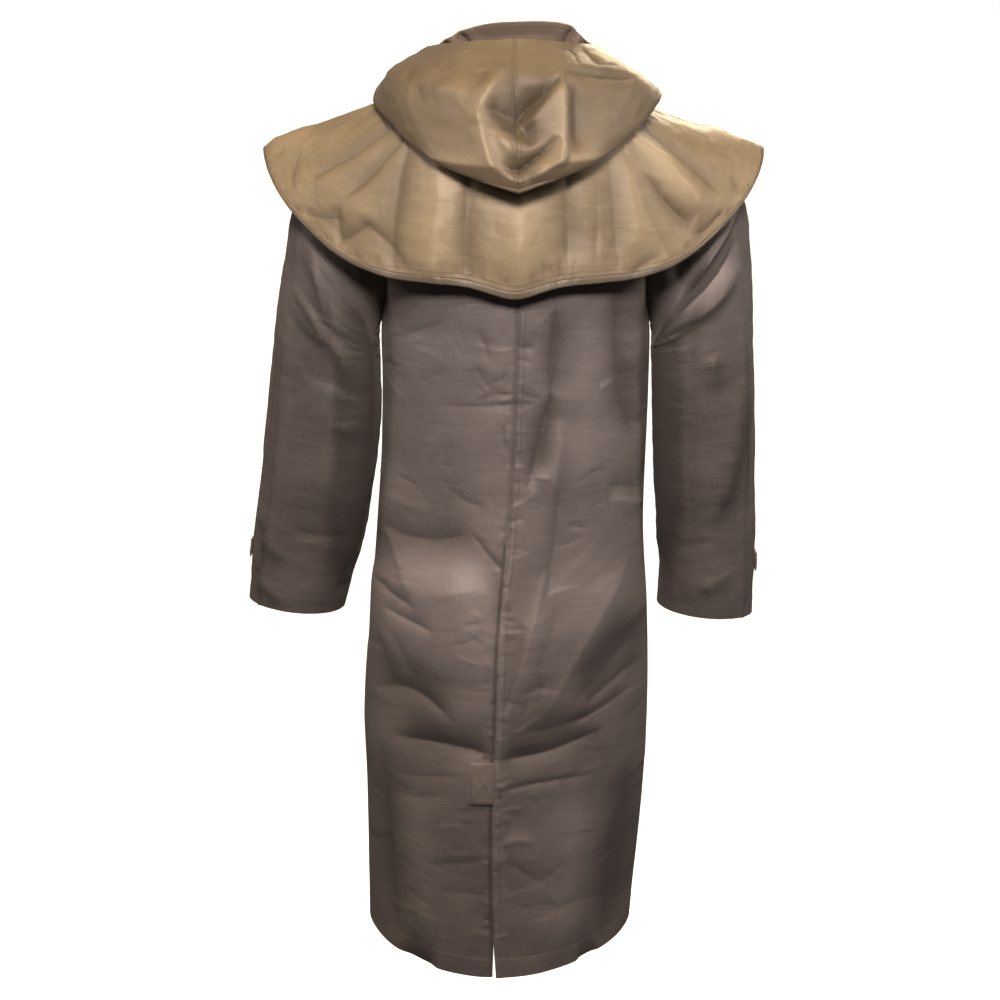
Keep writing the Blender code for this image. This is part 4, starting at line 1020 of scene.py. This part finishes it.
# On a chart of the way round from the centre back, and the way down from the neck
CAPE_CREASES = (
    Crease(0.370, 0.060, 0.385, 0.130, 0.400, 0.200, 0.050, -0.0070, 0.00, 0.0),
    Crease(-0.375, 0.180, -0.382, 0.235, -0.390, 0.300, 0.045, 0.0060, 0.00, 0.0),
    # Left of the hood
    Crease(-0.210, 0.066, -0.240, 0.145, -0.268, 0.232, 0.016, -0.0105, 0.25, 0.6),
    Crease(-0.150, 0.098, -0.176, 0.165, -0.202, 0.228, 0.014, -0.0098, 0.25, 0.6),
    Crease(-0.142, 0.120, -0.128, 0.215, -0.122, 0.302, 0.018, -0.0080, 0.00, 0.3),
    Crease(-0.085, 0.150, -0.080, 0.230, -0.078, 0.310, 0.024, 0.0070, 0.00, 0.0),
    Crease(-0.046, 0.180, -0.048, 0.250, -0.046, 0.308, 0.012, -0.0066, -0.20, 0.3),
    Crease(-0.172, 0.242, -0.130, 0.265, -0.094, 0.301, 0.011, -0.0038, 0.50, 1.0),
    Crease(-0.204, 0.232, -0.194, 0.262, -0.184, 0.292, 0.011, -0.0042, 0.00, 0.5),
    Crease(-0.150, 0.243, -0.172, 0.264, -0.194, 0.288, 0.010, -0.0042, 0.00, 0.6),
    Crease(-0.250, 0.286, -0.220, 0.266, -0.188, 0.248, 0.012, -0.0040, 0.00, 0.5),
    Crease(-0.326, 0.212, -0.300, 0.244, -0.276, 0.272, 0.010, -0.0034, 0.00, 0.4),
    Crease(-0.352, 0.276, -0.350, 0.260, -0.350, 0.240, 0.008, -0.0020, 0.00, 0.3),
    # Below the hood
    Crease(0.008, 0.190, 0.006, 0.245, 0.004, 0.300, 0.020, 0.0055, 0.00, 0.0),
    Crease(0.056, 0.170, 0.053, 0.235, 0.050, 0.290, 0.014, -0.0075, -0.20, 0.3),
    Crease(0.087, 0.190, 0.084, 0.235, 0.079, 0.285, 0.007, -0.0024, 0.00, 0.6),
    Crease(0.108, 0.160, 0.104, 0.225, 0.100, 0.292, 0.014, -0.0058, 0.00, 0.3),
    Crease(0.130, 0.150, 0.128, 0.220, 0.126, 0.298, 0.014, 0.0040, 0.00, 0.0),
    # Right of the hood
    Crease(0.224, 0.070, 0.246, 0.155, 0.252, 0.266, 0.018, -0.0105, -0.20, 0.5),
    Crease(0.158, 0.106, 0.200, 0.180, 0.214, 0.264, 0.018, 0.0095, 0.00, 0.1),
    Crease(0.154, 0.174, 0.178, 0.228, 0.206, 0.276, 0.013, -0.0095, 0.20, 0.5),
    Crease(0.190, 0.268, 0.216, 0.282, 0.248, 0.272, 0.012, -0.0060, 0.00, 0.5),
    Crease(0.142, 0.205, 0.151, 0.254, 0.166, 0.302, 0.006, -0.0024, 0.20, 0.9),
    Crease(0.114, 0.303, 0.126, 0.290, 0.148, 0.284, 0.007, -0.0030, 0.00, 0.6),
    Crease(0.292, 0.240, 0.286, 0.258, 0.282, 0.280, 0.009, -0.0026, 0.00, 0.3),
    # Over the fronts
    Crease(-0.500, 0.100, -0.522, 0.200, -0.545, 0.305, 0.022, -0.0075, 0.20, 0.4),
    Crease(-0.560, 0.110, -0.580, 0.200, -0.600, 0.305, 0.020, 0.0045, 0.00, 0.1),
    Crease(0.495, 0.100, 0.512, 0.200, 0.535, 0.305, 0.022, -0.0075, -0.20, 0.4),
    Crease(0.555, 0.110, 0.575, 0.200, 0.595, 0.305, 0.020, 0.0045, 0.00, 0.1),
    Crease(-0.440, 0.180, -0.450, 0.240, -0.452, 0.300, 0.014, -0.0045, 0.00, 0.4),
    Crease(0.445, 0.180, 0.450, 0.240, 0.455, 0.300, 0.014, -0.0045, 0.00, 0.4),
)
# Gathers that the binding's sewing has drawn up, just right of the middle
Gather = namedtuple("Gather", "at top lift")
GATHERS = (
    Gather(0.019, 0.278, -0.0022), Gather(0.028, 0.272, -0.0028), Gather(0.035, 0.276, -0.0024),
    Gather(0.044, 0.274, -0.0026), Gather(0.050, 0.281, -0.0016), Gather(0.059, 0.276, -0.0020),
    Gather(-0.058, 0.282, -0.0014), Gather(-0.070, 0.280, -0.0016), Gather(-0.089, 0.283, -0.0014),
)
GATHER_STEP = 0.001
GATHER_MIDDLE, GATHER_BOTTOM = 0.289, 0.302
GATHER_WIDTH, GATHER_CRISP = 0.0034, 0.4
CAPE_GATHERS = tuple(
    Crease(
        gather.at, gather.top, gather.at - GATHER_STEP, GATHER_MIDDLE,
        gather.at - 2 * GATHER_STEP, GATHER_BOTTOM, GATHER_WIDTH, gather.lift, 0.0, GATHER_CRISP,
    )
    for gather in GATHERS
)
CAPE_WAVES = (Wave(0.0012, 0.09, 12), Wave(0.0004, 0.03, 13))
# The cape's cotton is painted lighter and more golden than the coat's: painted light, for the warm light
# that falls on the cape from above.
cape_cotton_painted_light = proofed_cotton(
    "cape_cotton_painted_light", colour=(0.246, 0.170, 0.094), pale=(0.356, 0.246, 0.136), dark=(0.106, 0.072, 0.039)
)


def neck_point(angle, lift):
    """Points of the neck seam. The angle runs from the centre back, positive to the right."""
    behind = np.cos(angle)
    at_back = behind > 0
    depth = np.where(at_back, NECK_BACK, NECK_FRONT)
    drop_back = NECK_SIDE_DROP * np.sin(angle) ** 2
    drop_front = NECK_SIDE_DROP + (NECK_FRONT_DROP - NECK_SIDE_DROP) * behind**2
    drop = np.where(at_back, drop_back, drop_front)
    return np.stack([NECK_HALF_WIDTH * np.sin(angle), -depth * behind, lift - drop], axis=-1)


def cape_point(angle, reach):
    """Points of the smooth cape: reach is 0 at the neck and 1 at the hem."""
    row = row_at(CAPE, np.hypot(np.degrees(angle), CAPE_TIP_ROUNDING))
    aside, behind = np.sin(angle), np.cos(angle)
    depth = np.where(behind > 0, CAPE_BACK, CAPE_FRONT)
    neck = neck_point(angle, CAPE_NECK_LIFT)
    hem = np.stack([CAPE_HALF_WIDTH * aside, -depth * behind, -row.hem_drop], axis=-1)
    lean = neck + (hem - neck) * np.stack([row.out, row.out, row.down], axis=-1)
    reach = reach[..., None]
    return neck * (1 - reach) ** 2 + lean * 2 * reach * (1 - reach) + hem * reach**2


def cape_hem_at(share):
    """A place of the cape's hem, and the way that its puckers run from it."""
    return CAPE_PUCKER_REACH * (2 * share - 1), CAPE_PUCKER_DOWN, 0.0, -1.0


CAPE_PUCKERS = puckers(cape_hem_at, count=56, reach=0.0, length=0.014, lift=0.0015, seed=21)
CAPE_WEAR = worn_creases(count=90, left=-0.66, right=0.66, top=0.285, bottom=0.06, slant=80, seed=36)
CAPE_RELIEF = CAPE_CREASES + CAPE_GATHERS + CAPE_WEAR + CAPE_PUCKERS


def cape_height(angle, reach):
    """How far the cape's flutes and creases stand out from its smooth form."""
    x, y = angle * CAPE_CHART_RADIUS, reach * CAPE_CHART_LENGTH
    height = relief(CAPE_RELIEF, x, y) + unevenness(CAPE_WAVES, x, y)
    return height * smooth((reach - CAPE_NECK_CALM) / CAPE_NECK_CALM_EASE)


def cape_piece(node, start, end, size):
    """One piece of the cape, between two angles round the neck, down to the binding."""
    across, down = grid_of(size)
    seam = math.copysign(CAPE_SHOULDER_GAP / 2 / CAPE_CHART_RADIUS, end - start)
    angle = start + seam + (end - start - 2 * seam) * across
    reach = down * (1 - BINDING_SHARE - SEAM_GAP / CAPE_CHART_LENGTH)
    height = cape_height(angle, reach)
    chart = angle * CAPE_CHART_RADIUS, reach * CAPE_CHART_LENGTH
    return cloth(node, cape_point(angle, reach), chart, height, CAPE_WALL, cape_cotton_painted_light)


cape_back = cape_piece("cape_back", -CAPE_SHOULDER_ANGLE, CAPE_SHOULDER_ANGLE, CAPE_BACK_GRID)
cape_fronts = {}
for side in (LEFT, RIGHT):
    cape_fronts[side] = cape_piece(
        f"cape_front_{NAMES[side]}", side * CAPE_SHOULDER_ANGLE, side * CAPE_EDGE_ANGLE, CAPE_FRONT_GRID
    )

cape_thread = sewing_thread("cape_thread", (0.140, 0.105, 0.080))
cape_lines = [cross_line(cape_back, CAPE_HEM_STITCHES, CAPE_HEM_RUN, steps=700)]
for panel in cape_fronts.values():
    cape_lines.append(cross_line(panel, CAPE_HEM_STITCHES, CAPE_FRONT_HEM_RUN, steps=200))
for share in CAPE_SHOULDER_STITCHES:
    cape_lines.append(down_line(cape_back, share, CAPE_STITCH_RUN, steps=160))
for panel in cape_fronts.values():
    cape_lines.append(down_line(panel, CAPE_EDGE_STITCHES, CAPE_STITCH_RUN, steps=160))
stitching("cape_stitching", cape_lines, cape_thread)

# The cape's hem is bound with a folded tape of the same cotton, which wraps its edge from front to front.
# It is a flattened tube that follows every flute of the hem.
BINDING_WALL = 0.0034
BINDING_ROWS = 5
BINDING_AROUND = 16
BINDING_ALONG = 760
BINDING_FULLNESS = 0.65
BINDING_MAP_RADIUS = 0.002
# The tape's cotton is tinted golden along with the cape's: painted warm light.
binding_cotton_painted_light = proofed_cotton(
    "binding_cotton_painted_light", colour=(0.138, 0.098, 0.064), pale=(0.205, 0.146, 0.095), dark=(0.060, 0.042, 0.028)
)


def tube_faces(rings, sides):
    """The faces of a tube of rings of corners, closed at both ends."""
    spots = np.arange(rings * sides).reshape(rings, sides)
    beside = np.roll(spots, -1, axis=1)
    faces = np.stack([spots[:-1], beside[:-1], beside[1:], spots[1:]], axis=-1).reshape(-1, 4).tolist()
    return faces + [spots[0, ::-1].tolist(), spots[-1].tolist()]


def binding_mesh():
    """The tape, round the middle of the creased band that it covers."""
    angle = np.linspace(-CAPE_EDGE_ANGLE, CAPE_EDGE_ANGLE, BINDING_ALONG)
    reach = np.linspace(1 - BINDING_SHARE, 1, BINDING_ROWS)
    angles, reaches = np.meshgrid(angle, reach)
    smooth_band = cape_point(angles, reaches)
    band = smooth_band + outward_of(smooth_band) * cape_height(angles, reaches)[..., None]
    outward = outward_of(band)[BINDING_ROWS // 2]
    middle, across = band[BINDING_ROWS // 2], (band[-1] - band[0]) / 2
    turn = np.linspace(0, 2 * math.pi, BINDING_AROUND, endpoint=False)
    flat, thick = np.cos(turn), np.sin(turn)
    flat = np.sign(flat) * np.abs(flat) ** BINDING_FULLNESS
    thick = np.sign(thick) * np.abs(thick) ** BINDING_FULLNESS
    points = middle[:, None] + across[:, None] * flat[:, None]
    points = points + outward[:, None] * thick[:, None] * BINDING_WALL / 2
    mesh = bpy.data.meshes.new("cape_binding_tape")
    mesh.from_pydata(points.reshape(-1, 3).tolist(), [], tube_faces(BINDING_ALONG, BINDING_AROUND))
    run = np.repeat(angle * CAPE_CHART_RADIUS, BINDING_AROUND)
    wrap = np.tile(turn * BINDING_MAP_RADIUS, BINDING_ALONG)
    lay_map(mesh, np.stack([run, wrap], axis=-1))
    mesh.shade_smooth()
    return mesh


binding = add("cape_binding_tape", binding_mesh(), binding_cotton_painted_light)
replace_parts(binding, "cape_binding")

# The hood is two shaped halves sewn down the middle. It hangs down the back as an open pouch, with its rim
# round the collar, and the slack of its crown has fallen into deep folds over the seam.
HOOD_WALL = 0.0020
HOOD_NECK_LIFT = 0.0095
HOOD_END_ANGLE = math.radians(150)
HOOD_CHART_RADIUS = 0.19
HOOD_CHART_LENGTH = 0.42
HOOD_FOLD_TILT = 0.003
HOOD_FOLD_SHIFT = 0.005
HOOD_SEAM_SINK, HOOD_SEAM_SINK_WIDTH = 0.0014, 0.004
HOOD_CALM_END, HOOD_CALM_EASE = 0.66, 0.10
HOOD_RIM_STITCHES, HOOD_RIM_RUN = 0.045, (0.004, 0.99)
HOOD_SEAM_STITCHES, HOOD_SEAM_RUN = 0.008, (0.004, 0.62)
HOOD_GRID = (150, 190)
HoodRow = namedtuple("HoodRow", "angle rim_out rim_z crown_out crown_z fold_out fold_z under_out under_z")
HOOD = (
    HoodRow(0, 0.118, 0.033, 0.186, -0.035, 0.212, -0.152, 0.127, -0.015),
    HoodRow(28, 0.117, 0.030, 0.186, -0.030, 0.198, -0.118, 0.127, -0.016),
    HoodRow(58, 0.114, 0.024, 0.178, -0.012, 0.189, -0.066, 0.127, -0.021),
    HoodRow(90, 0.112, 0.018, 0.156, -0.010, 0.182, -0.040, 0.125, -0.025),
    HoodRow(120, 0.104, -0.008, 0.136, -0.020, 0.152, -0.055, 0.112, -0.037),
    HoodRow(150, 0.092, -0.036, 0.108, -0.044, 0.116, -0.068, 0.090, -0.058),
)
HOOD_STOPS = np.array((0.0, 0.28, 0.60, 0.82, 1.0))
# On a chart of the way round from the centre back, and the way down from the rim
HOOD_CREASES = (
    # The hollow over the seam, its two ridges and the valley across it
    Crease(0.046, 0.088, 0.012, 0.132, -0.008, 0.168, 0.032, -0.0150, 0.00, 0.1),
    Crease(-0.006, 0.052, -0.036, 0.118, -0.042, 0.158, 0.012, 0.0075, 0.35, 0.3),
    Crease(-0.043, 0.130, -0.036, 0.170, -0.020, 0.212, 0.011, 0.0080, 0.35, 0.4),
    Crease(-0.040, 0.130, -0.022, 0.137, -0.002, 0.142, 0.010, -0.0060, 0.00, 0.4),
    Crease(0.070, 0.072, 0.030, 0.112, -0.016, 0.160, 0.010, -0.0120, 0.25, 0.6),
    Crease(0.066, 0.098, 0.037, 0.130, 0.010, 0.154, 0.010, 0.0075, 0.00, 0.4),
    Crease(0.067, 0.066, 0.059, 0.146, 0.046, 0.210, 0.011, 0.0115, 0.35, 0.4),
    Crease(0.084, 0.082, 0.076, 0.146, 0.064, 0.200, 0.016, -0.0105, 0.00, 0.3),
    Crease(0.006, 0.150, 0.013, 0.162, 0.018, 0.178, 0.006, -0.0060, 0.00, 0.5),
    Crease(-0.020, 0.160, -0.012, 0.172, 0.000, 0.184, 0.010, 0.0050, 0.00, 0.3),
    Crease(-0.020, 0.198, 0.016, 0.190, 0.052, 0.166, 0.009, -0.0120, 0.00, 0.7),
    # The roll along the bottom, below which the cloth turns under
    Crease(-0.126, 0.228, -0.066, 0.208, -0.010, 0.197, 0.018, 0.0080, -0.30, 0.7),
    Crease(-0.030, 0.194, -0.010, 0.207, 0.010, 0.211, 0.008, 0.0050, 0.00, 0.6),
    Crease(0.008, 0.211, 0.034, 0.204, 0.058, 0.190, 0.008, 0.0060, 0.00, 0.6),
    Crease(0.006, 0.199, 0.058, 0.204, 0.116, 0.228, 0.018, 0.0080, -0.30, 0.7),
    # The hollow under the roll, whose colour also takes painted shade
    Crease(-0.150, 0.262, 0.000, 0.248, 0.150, 0.262, 0.019, -0.0110, 0.00, 0.2),
    # The smooth sides and the rim
    Crease(0.072, 0.066, 0.131, 0.084, 0.192, 0.128, 0.012, -0.0065, 0.20, 0.5),
    Crease(0.112, 0.000, 0.108, 0.030, 0.103, 0.062, 0.005, -0.0026, 0.00, 0.6),
    Crease(0.144, 0.008, 0.144, 0.036, 0.142, 0.070, 0.006, -0.0026, 0.00, 0.6),
    Crease(-0.172, 0.066, -0.163, 0.095, -0.156, 0.124, 0.008, -0.0022, 0.00, 0.5),
    Crease(-0.142, 0.108, -0.130, 0.128, -0.116, 0.150, 0.008, -0.0022, 0.00, 0.5),
    Crease(-0.112, 0.120, -0.085, 0.112, -0.058, 0.108, 0.016, 0.0034, 0.00, 0.0),
    Crease(-0.050, 0.060, -0.046, 0.080, -0.054, 0.104, 0.012, -0.0030, 0.00, 0.3),
    Crease(-0.260, 0.060, -0.262, 0.110, -0.250, 0.170, 0.014, -0.0042, 0.00, 0.4),
    Crease(0.262, 0.050, 0.268, 0.110, 0.256, 0.170, 0.014, -0.0042, 0.00, 0.4),
)
HOOD_WEAR = worn_creases(count=60, left=-0.45, right=0.45, top=0.235, bottom=0.03, slant=60, seed=37)
HOOD_WAVES = (Wave(0.0012, 0.08, 15), Wave(0.0004, 0.03, 16))
# The hood's cotton is painted more golden than the coat's: painted light, for the warm light that falls on
# the hood from above.
hood_cotton_painted_light = proofed_cotton(
    "hood_cotton_painted_light", colour=(0.154, 0.104, 0.058), pale=(0.236, 0.160, 0.090), dark=(0.040, 0.026, 0.015)
)


def hood_point(angle, reach):
    """Points of the smooth hood: reach is 0 at the rim and 1 at the neck seam."""
    row = row_at(HOOD, np.abs(np.degrees(angle)))
    aside, behind = np.sin(angle), np.cos(angle)

    def place(out, z, shift=0.0):
        return np.stack([out * aside + shift, -out * behind, z], axis=-1)

    stations = np.stack([
        place(row.rim_out, row.rim_z),
        place(row.crown_out, row.crown_z),
        place(row.fold_out, row.fold_z + HOOD_FOLD_TILT * aside, HOOD_FOLD_SHIFT),
        place(row.under_out, row.under_z),
        neck_point(angle, HOOD_NECK_LIFT),
    ])
    return curves_through(HOOD_STOPS, stations, reach, *np.indices(angle.shape))


def hood_half(side):
    """One half of the hood, from the centre seam round to its end beside the throat."""
    across, down = grid_of(HOOD_GRID)
    seam = SEAM_GAP / 2 / NECK_BACK
    angle = side * (seam + (HOOD_END_ANGLE - seam) * across)
    points = hood_point(angle, down)
    x, y = angle * HOOD_CHART_RADIUS, down * HOOD_CHART_LENGTH
    height = relief(HOOD_CREASES + HOOD_WEAR, x, y) + unevenness(HOOD_WAVES, x, y)
    height -= swell(HOOD_SEAM_SINK, x, HOOD_SEAM_SINK_WIDTH)
    height *= smooth((HOOD_CALM_END - down) / HOOD_CALM_EASE)
    return cloth(f"hood_{NAMES[side]}", points, (x, y), height, HOOD_WALL, hood_cotton_painted_light)


hoods = {side: hood_half(side) for side in (LEFT, RIGHT)}
hood_lines = []
for panel in hoods.values():
    hood_lines += [
        cross_line(panel, HOOD_RIM_STITCHES, HOOD_RIM_RUN, steps=260),
        down_line(panel, HOOD_SEAM_STITCHES, HOOD_SEAM_RUN, steps=200),
    ]
stitching("hood_stitching", hood_lines, cape_thread)

# The stand collar is a doubled band of the coat's cotton, stiffened, turned at the top and edge-stitched.
# It stands in the neck seam inside the hood's rim, and bends at its two back corners.
COLLAR_WALL = 0.0030
COLLAR_NECK_LIFT = 0.0122
COLLAR_HEIGHT = 0.0412
COLLAR_HALF_WIDTH, COLLAR_BACK, COLLAR_FRONT = 0.104, 0.096, 0.084
COLLAR_END_ANGLE = math.radians(158)
COLLAR_SQUARENESS = 0.70
COLLAR_TILT = 0.008
COLLAR_LEFT_DROP, COLLAR_RIGHT_DROP = 0.002, 0.014
COLLAR_CORNER, COLLAR_CORNER_EASE = 0.5, 0.4
COLLAR_FOOT_CALM = 0.3
COLLAR_STITCHES = 0.88
COLLAR_CHART_RADIUS = 0.10
COLLAR_GRID = (220, 26)
COLLAR_CREASES = (
    Crease(-0.062, 0.000, -0.058, 0.022, -0.060, 0.045, 0.006, -0.0058, 0.00, 0.3),
    Crease(-0.080, 0.004, -0.076, 0.022, -0.072, 0.045, 0.007, 0.0048, 0.00, 0.2),
    Crease(-0.098, 0.000, -0.094, 0.022, -0.092, 0.045, 0.007, -0.0058, 0.00, 0.2),
    Crease(0.064, 0.000, 0.066, 0.022, 0.064, 0.045, 0.007, -0.0058, 0.00, 0.3),
    Crease(0.086, 0.000, 0.082, 0.022, 0.080, 0.045, 0.008, 0.0046, 0.00, 0.2),
    Crease(0.104, 0.000, 0.100, 0.022, 0.098, 0.045, 0.006, -0.0030, 0.00, 0.2),
    Crease(-0.050, 0.030, 0.000, 0.026, 0.052, 0.030, 0.014, -0.0030, 0.00, 0.0),
)
COLLAR_WAVES = (Wave(0.0006, 0.04, 17),)
# The collar's cotton is the coat's cotton painted lighter and more golden: painted light, for light that
# misses the collar's outward-leaning face.
collar_cotton_painted_light = proofed_cotton(
    "collar_cotton_painted_light", colour=(0.208, 0.142, 0.096), pale=(0.312, 0.213, 0.144), dark=(0.060, 0.041, 0.028)
)


def collar_piece():
    """The collar, from its foot in the neck seam up to its squarer top edge."""
    across, up = grid_of(COLLAR_GRID)
    angle = COLLAR_END_ANGLE * (2 * across - 1)
    aside, behind = np.sin(angle), np.cos(angle)
    foot = neck_point(angle, COLLAR_NECK_LIFT)
    depth = np.where(behind > 0, COLLAR_BACK, COLLAR_FRONT)
    corner_drop = np.where(aside < 0, COLLAR_LEFT_DROP, COLLAR_RIGHT_DROP)
    corner_drop = corner_drop * smooth((np.abs(aside) - COLLAR_CORNER) / COLLAR_CORNER_EASE)
    top = np.stack([
        np.sign(aside) * np.abs(aside) ** COLLAR_SQUARENESS * COLLAR_HALF_WIDTH,
        -np.sign(behind) * np.abs(behind) ** COLLAR_SQUARENESS * depth,
        foot[..., 2] + COLLAR_HEIGHT + COLLAR_TILT * aside - corner_drop,
    ], axis=-1)
    points = foot + (top - foot) * up[..., None]
    x, y = angle * COLLAR_CHART_RADIUS, up * COLLAR_HEIGHT
    height = relief(COLLAR_CREASES, x, y) * smooth(up / COLLAR_FOOT_CALM)
    height += unevenness(COLLAR_WAVES, x, y) * up
    return cloth("collar", points, (x, y), height, COLLAR_WALL, collar_cotton_painted_light)


collar = collar_piece()
collar_lines = [cross_line(collar, COLLAR_STITCHES, steps=400)]
stitching("collar_stitching", collar_lines, coat_thread)

# Press studs of dark enamelled brass close the lapped front and the cuff tabs.
# Each cap is a low dome with a rolled rim, set on the cloth by its washer.
STUD_RADIUS = 0.0065
STUD_HEIGHT = 0.0026
STUD_SIDES = 40
STUD_CLEARANCE = 0.0002
STUD_GRAIN = 900.0
FRONT_STUD_DROPS = (0.330, 0.470, 0.610, 0.750, 0.890)
FRONT_STUD_SHARE = 0.15
CUFF_STUD_PLACE = (0.85, 0.5)
# Radius and height of the cap's turned outline, as shares of the stud's radius and height
STUD_OUTLINE = (
    (1.00, 0.00), (1.00, 0.22), (0.97, 0.42), (0.90, 0.52), (0.82, 0.50), (0.78, 0.44), (0.74, 0.50),
    (0.62, 0.74), (0.44, 0.90), (0.22, 0.98), (0.05, 1.00),
)


def enamelled_brass(name, colour, bare):
    """Baked enamel over brass, a little uneven, with the metal just showing where it is rubbed."""
    material, shader, wire = new_material(name)
    place = wire.node("TexCoord", {}, {}, output=3)
    grain = wire.noise(place, scale=STUD_GRAIN, detail=3.0)
    rubbed = wire.node("ValToRGB", {"stops": ((0.55, (0, 0, 0)), (0.78, (1, 1, 1)))}, {0: grain})
    wire.blend(rubbed, (*colour, 1), (*bare, 1)).feed(shader, "Base Color")
    (0.30 + grain * 0.22).feed(shader, "Roughness")
    (0.25 + rubbed * 0.6).feed(shader, "Metallic")
    wire.bump(0.15, 0.0001, grain).feed(shader, "Normal")
    return material


stud_enamel = enamelled_brass("stud_enamel", (0.060, 0.048, 0.040), (0.30, 0.22, 0.13))


def stud(node, panel, across, down):
    """A stud's cap, turned from its outline, with its foot on a panel."""
    foot, outward = on_panel(panel, np.array([across]), np.array([down]), STUD_CLEARANCE)
    turn = Vector(outward[0]).to_track_quat("Z", "Y").to_matrix()
    angles = np.linspace(0, 2 * math.pi, STUD_SIDES, endpoint=False)
    outline = np.array(STUD_OUTLINE) * (STUD_RADIUS, STUD_HEIGHT)
    rings = np.stack([
        outline[:, :1] * np.cos(angles), outline[:, :1] * np.sin(angles), outline[:, 1:] + 0 * angles
    ], axis=-1)
    corners = rings.reshape(-1, 3) @ np.array(turn).T + foot[0]
    mesh = bpy.data.meshes.new(node + "_cap")
    mesh.from_pydata(corners.tolist(), [], tube_faces(len(outline), STUD_SIDES))
    mesh.shade_smooth()
    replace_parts(add(node + "_cap", mesh, stud_enamel), node)


for number, drop in enumerate(FRONT_STUD_DROPS, start=1):
    stud(f"front_stud_{number}", fronts[LEFT], FRONT_STUD_SHARE, drop / BACK_LENGTH)
for side, panel in cuff_tabs.items():
    stud(f"cuff_stud_{NAMES[side]}", panel, *CUFF_STUD_PLACE)

# A pale studio, with a white floor below the hem that lights nothing. A soft lamp by the camera lights the
# coat's back, two weaker ones its sides and a warm one its fronts, and low golden light falls from overhead.
# The camera stands behind the coat and looks a little down on it, as in the photograph.
WHITE = (1, 1, 1, 1)
FLOOR_Z = -1.56
FLOOR_REACH = 120.0
FLOOR_PAINT = {
    "Base Color": (0.90, 0.90, 0.90, 1),
    "Roughness": 0.9,
    "Specular IOR Level": 0.0,
    "Emission Color": WHITE,
    "Emission Strength": 1.0,
}
floor_mesh = bpy.data.meshes.new("floor")
floor_corners = [
    (x * FLOOR_REACH, y * FLOOR_REACH, FLOOR_Z) for x, y in ((-1, -1), (1, -1), (1, 1), (-1, 1))
]
floor_mesh.from_pydata(floor_corners, [], [(0, 1, 2, 3)])
floor = bpy.data.objects.new("floor", floor_mesh)
bpy.context.scene.collection.objects.link(floor)
floor.visible_diffuse = False
floor.visible_glossy = False
floor_paint, paint, _ = new_material("floor_paint")
set_sockets(paint, FLOOR_PAINT)
floor_mesh.materials.append(floor_paint)

# The room is seen white, but its light on the coat is dim and cool.
ROOM_COLOUR, ROOM_STRENGTH = (0.92, 0.95, 1.0, 1), 0.04
world = bpy.data.worlds.new("studio")
bpy.context.scene.world = world
world.use_nodes = True
room = world.node_tree
room_light = room.nodes["Background"]
set_sockets(room_light, {"Color": ROOM_COLOUR, "Strength": ROOM_STRENGTH})
seen = room.nodes.new("ShaderNodeBackground")
set_sockets(seen, {"Color": WHITE, "Strength": 1.0})
path = room.nodes.new("ShaderNodeLightPath")
choose = room.nodes.new("ShaderNodeMixShader")
room.links.new(path.outputs["Is Camera Ray"], choose.inputs[0])
room.links.new(room_light.outputs[0], choose.inputs[1])
room.links.new(seen.outputs[0], choose.inputs[2])
room.links.new(choose.outputs[0], room.nodes["World Output"].inputs["Surface"])

OVERHEAD_COLOUR, OVERHEAD_STRENGTH = (1.0, 0.70, 0.14), 1.0
OVERHEAD_BREADTH = math.radians(40)
OVERHEAD_TILT = (math.radians(4), math.radians(-8), 0)
overhead = bpy.data.lights.new("overhead", "SUN")
overhead.energy = OVERHEAD_STRENGTH
overhead.angle = OVERHEAD_BREADTH
overhead.color = OVERHEAD_COLOUR
overhead_lamp = bpy.data.objects.new("overhead", overhead)
overhead_lamp.rotation_euler = OVERHEAD_TILT
bpy.context.scene.collection.objects.link(overhead_lamp)

SOFTBOX_SPREAD = math.radians(100)
Softbox = namedtuple("Softbox", "name place aim size power colour")
SOFTBOXES = (
    Softbox("front", (0.0, -1.95, 0.82), (0, 0, 0.2), (0.5, 0.4), 20.0, (0.96, 0.96, 1.0)),
    Softbox("left_side", (-2.1, -0.8, 1.1), (0, 0, 0.4), (0.7, 0.7), 6.0, (0.95, 0.96, 1.0)),
    Softbox("right_side", (2.1, -0.8, 1.1), (0, 0, 0.4), (0.7, 0.7), 11.0, (0.95, 0.96, 1.0)),
    Softbox("far_side", (0.7, 2.2, 0.9), (0, 0, -0.4), (1.0, 1.0), 14.0, (1.0, 0.86, 0.60)),
)
for box in SOFTBOXES:
    light = bpy.data.lights.new(box.name, "AREA")
    light.shape = "RECTANGLE"
    light.size, light.size_y = box.size
    light.energy = box.power
    light.color = box.colour
    light.spread = SOFTBOX_SPREAD
    lamp = bpy.data.objects.new(box.name, light)
    lamp.location = box.place
    lamp.rotation_euler = (Vector(box.aim) - Vector(box.place)).to_track_quat("-Z", "Y").to_euler()
    lamp.visible_camera = False
    bpy.context.scene.collection.objects.link(lamp)

CAMERA_PLACE = (-0.018, -2.75, 0.10)
CAMERA_LOOKS_DOWN = math.radians(14)
CAMERA_LENS, CAMERA_SENSOR = 74.52, 36.0
camera_data = bpy.data.cameras.new("camera")
camera_data.sensor_width = CAMERA_SENSOR
camera_data.lens = CAMERA_LENS
camera = bpy.data.objects.new("camera", camera_data)
camera.location = CAMERA_PLACE
camera.rotation_euler = (QUARTER - CAMERA_LOOKS_DOWN, 0, 0)
bpy.context.scene.collection.objects.link(camera)
bpy.context.scene.camera = camera
bpy.context.scene.view_settings.view_transform = "Standard"
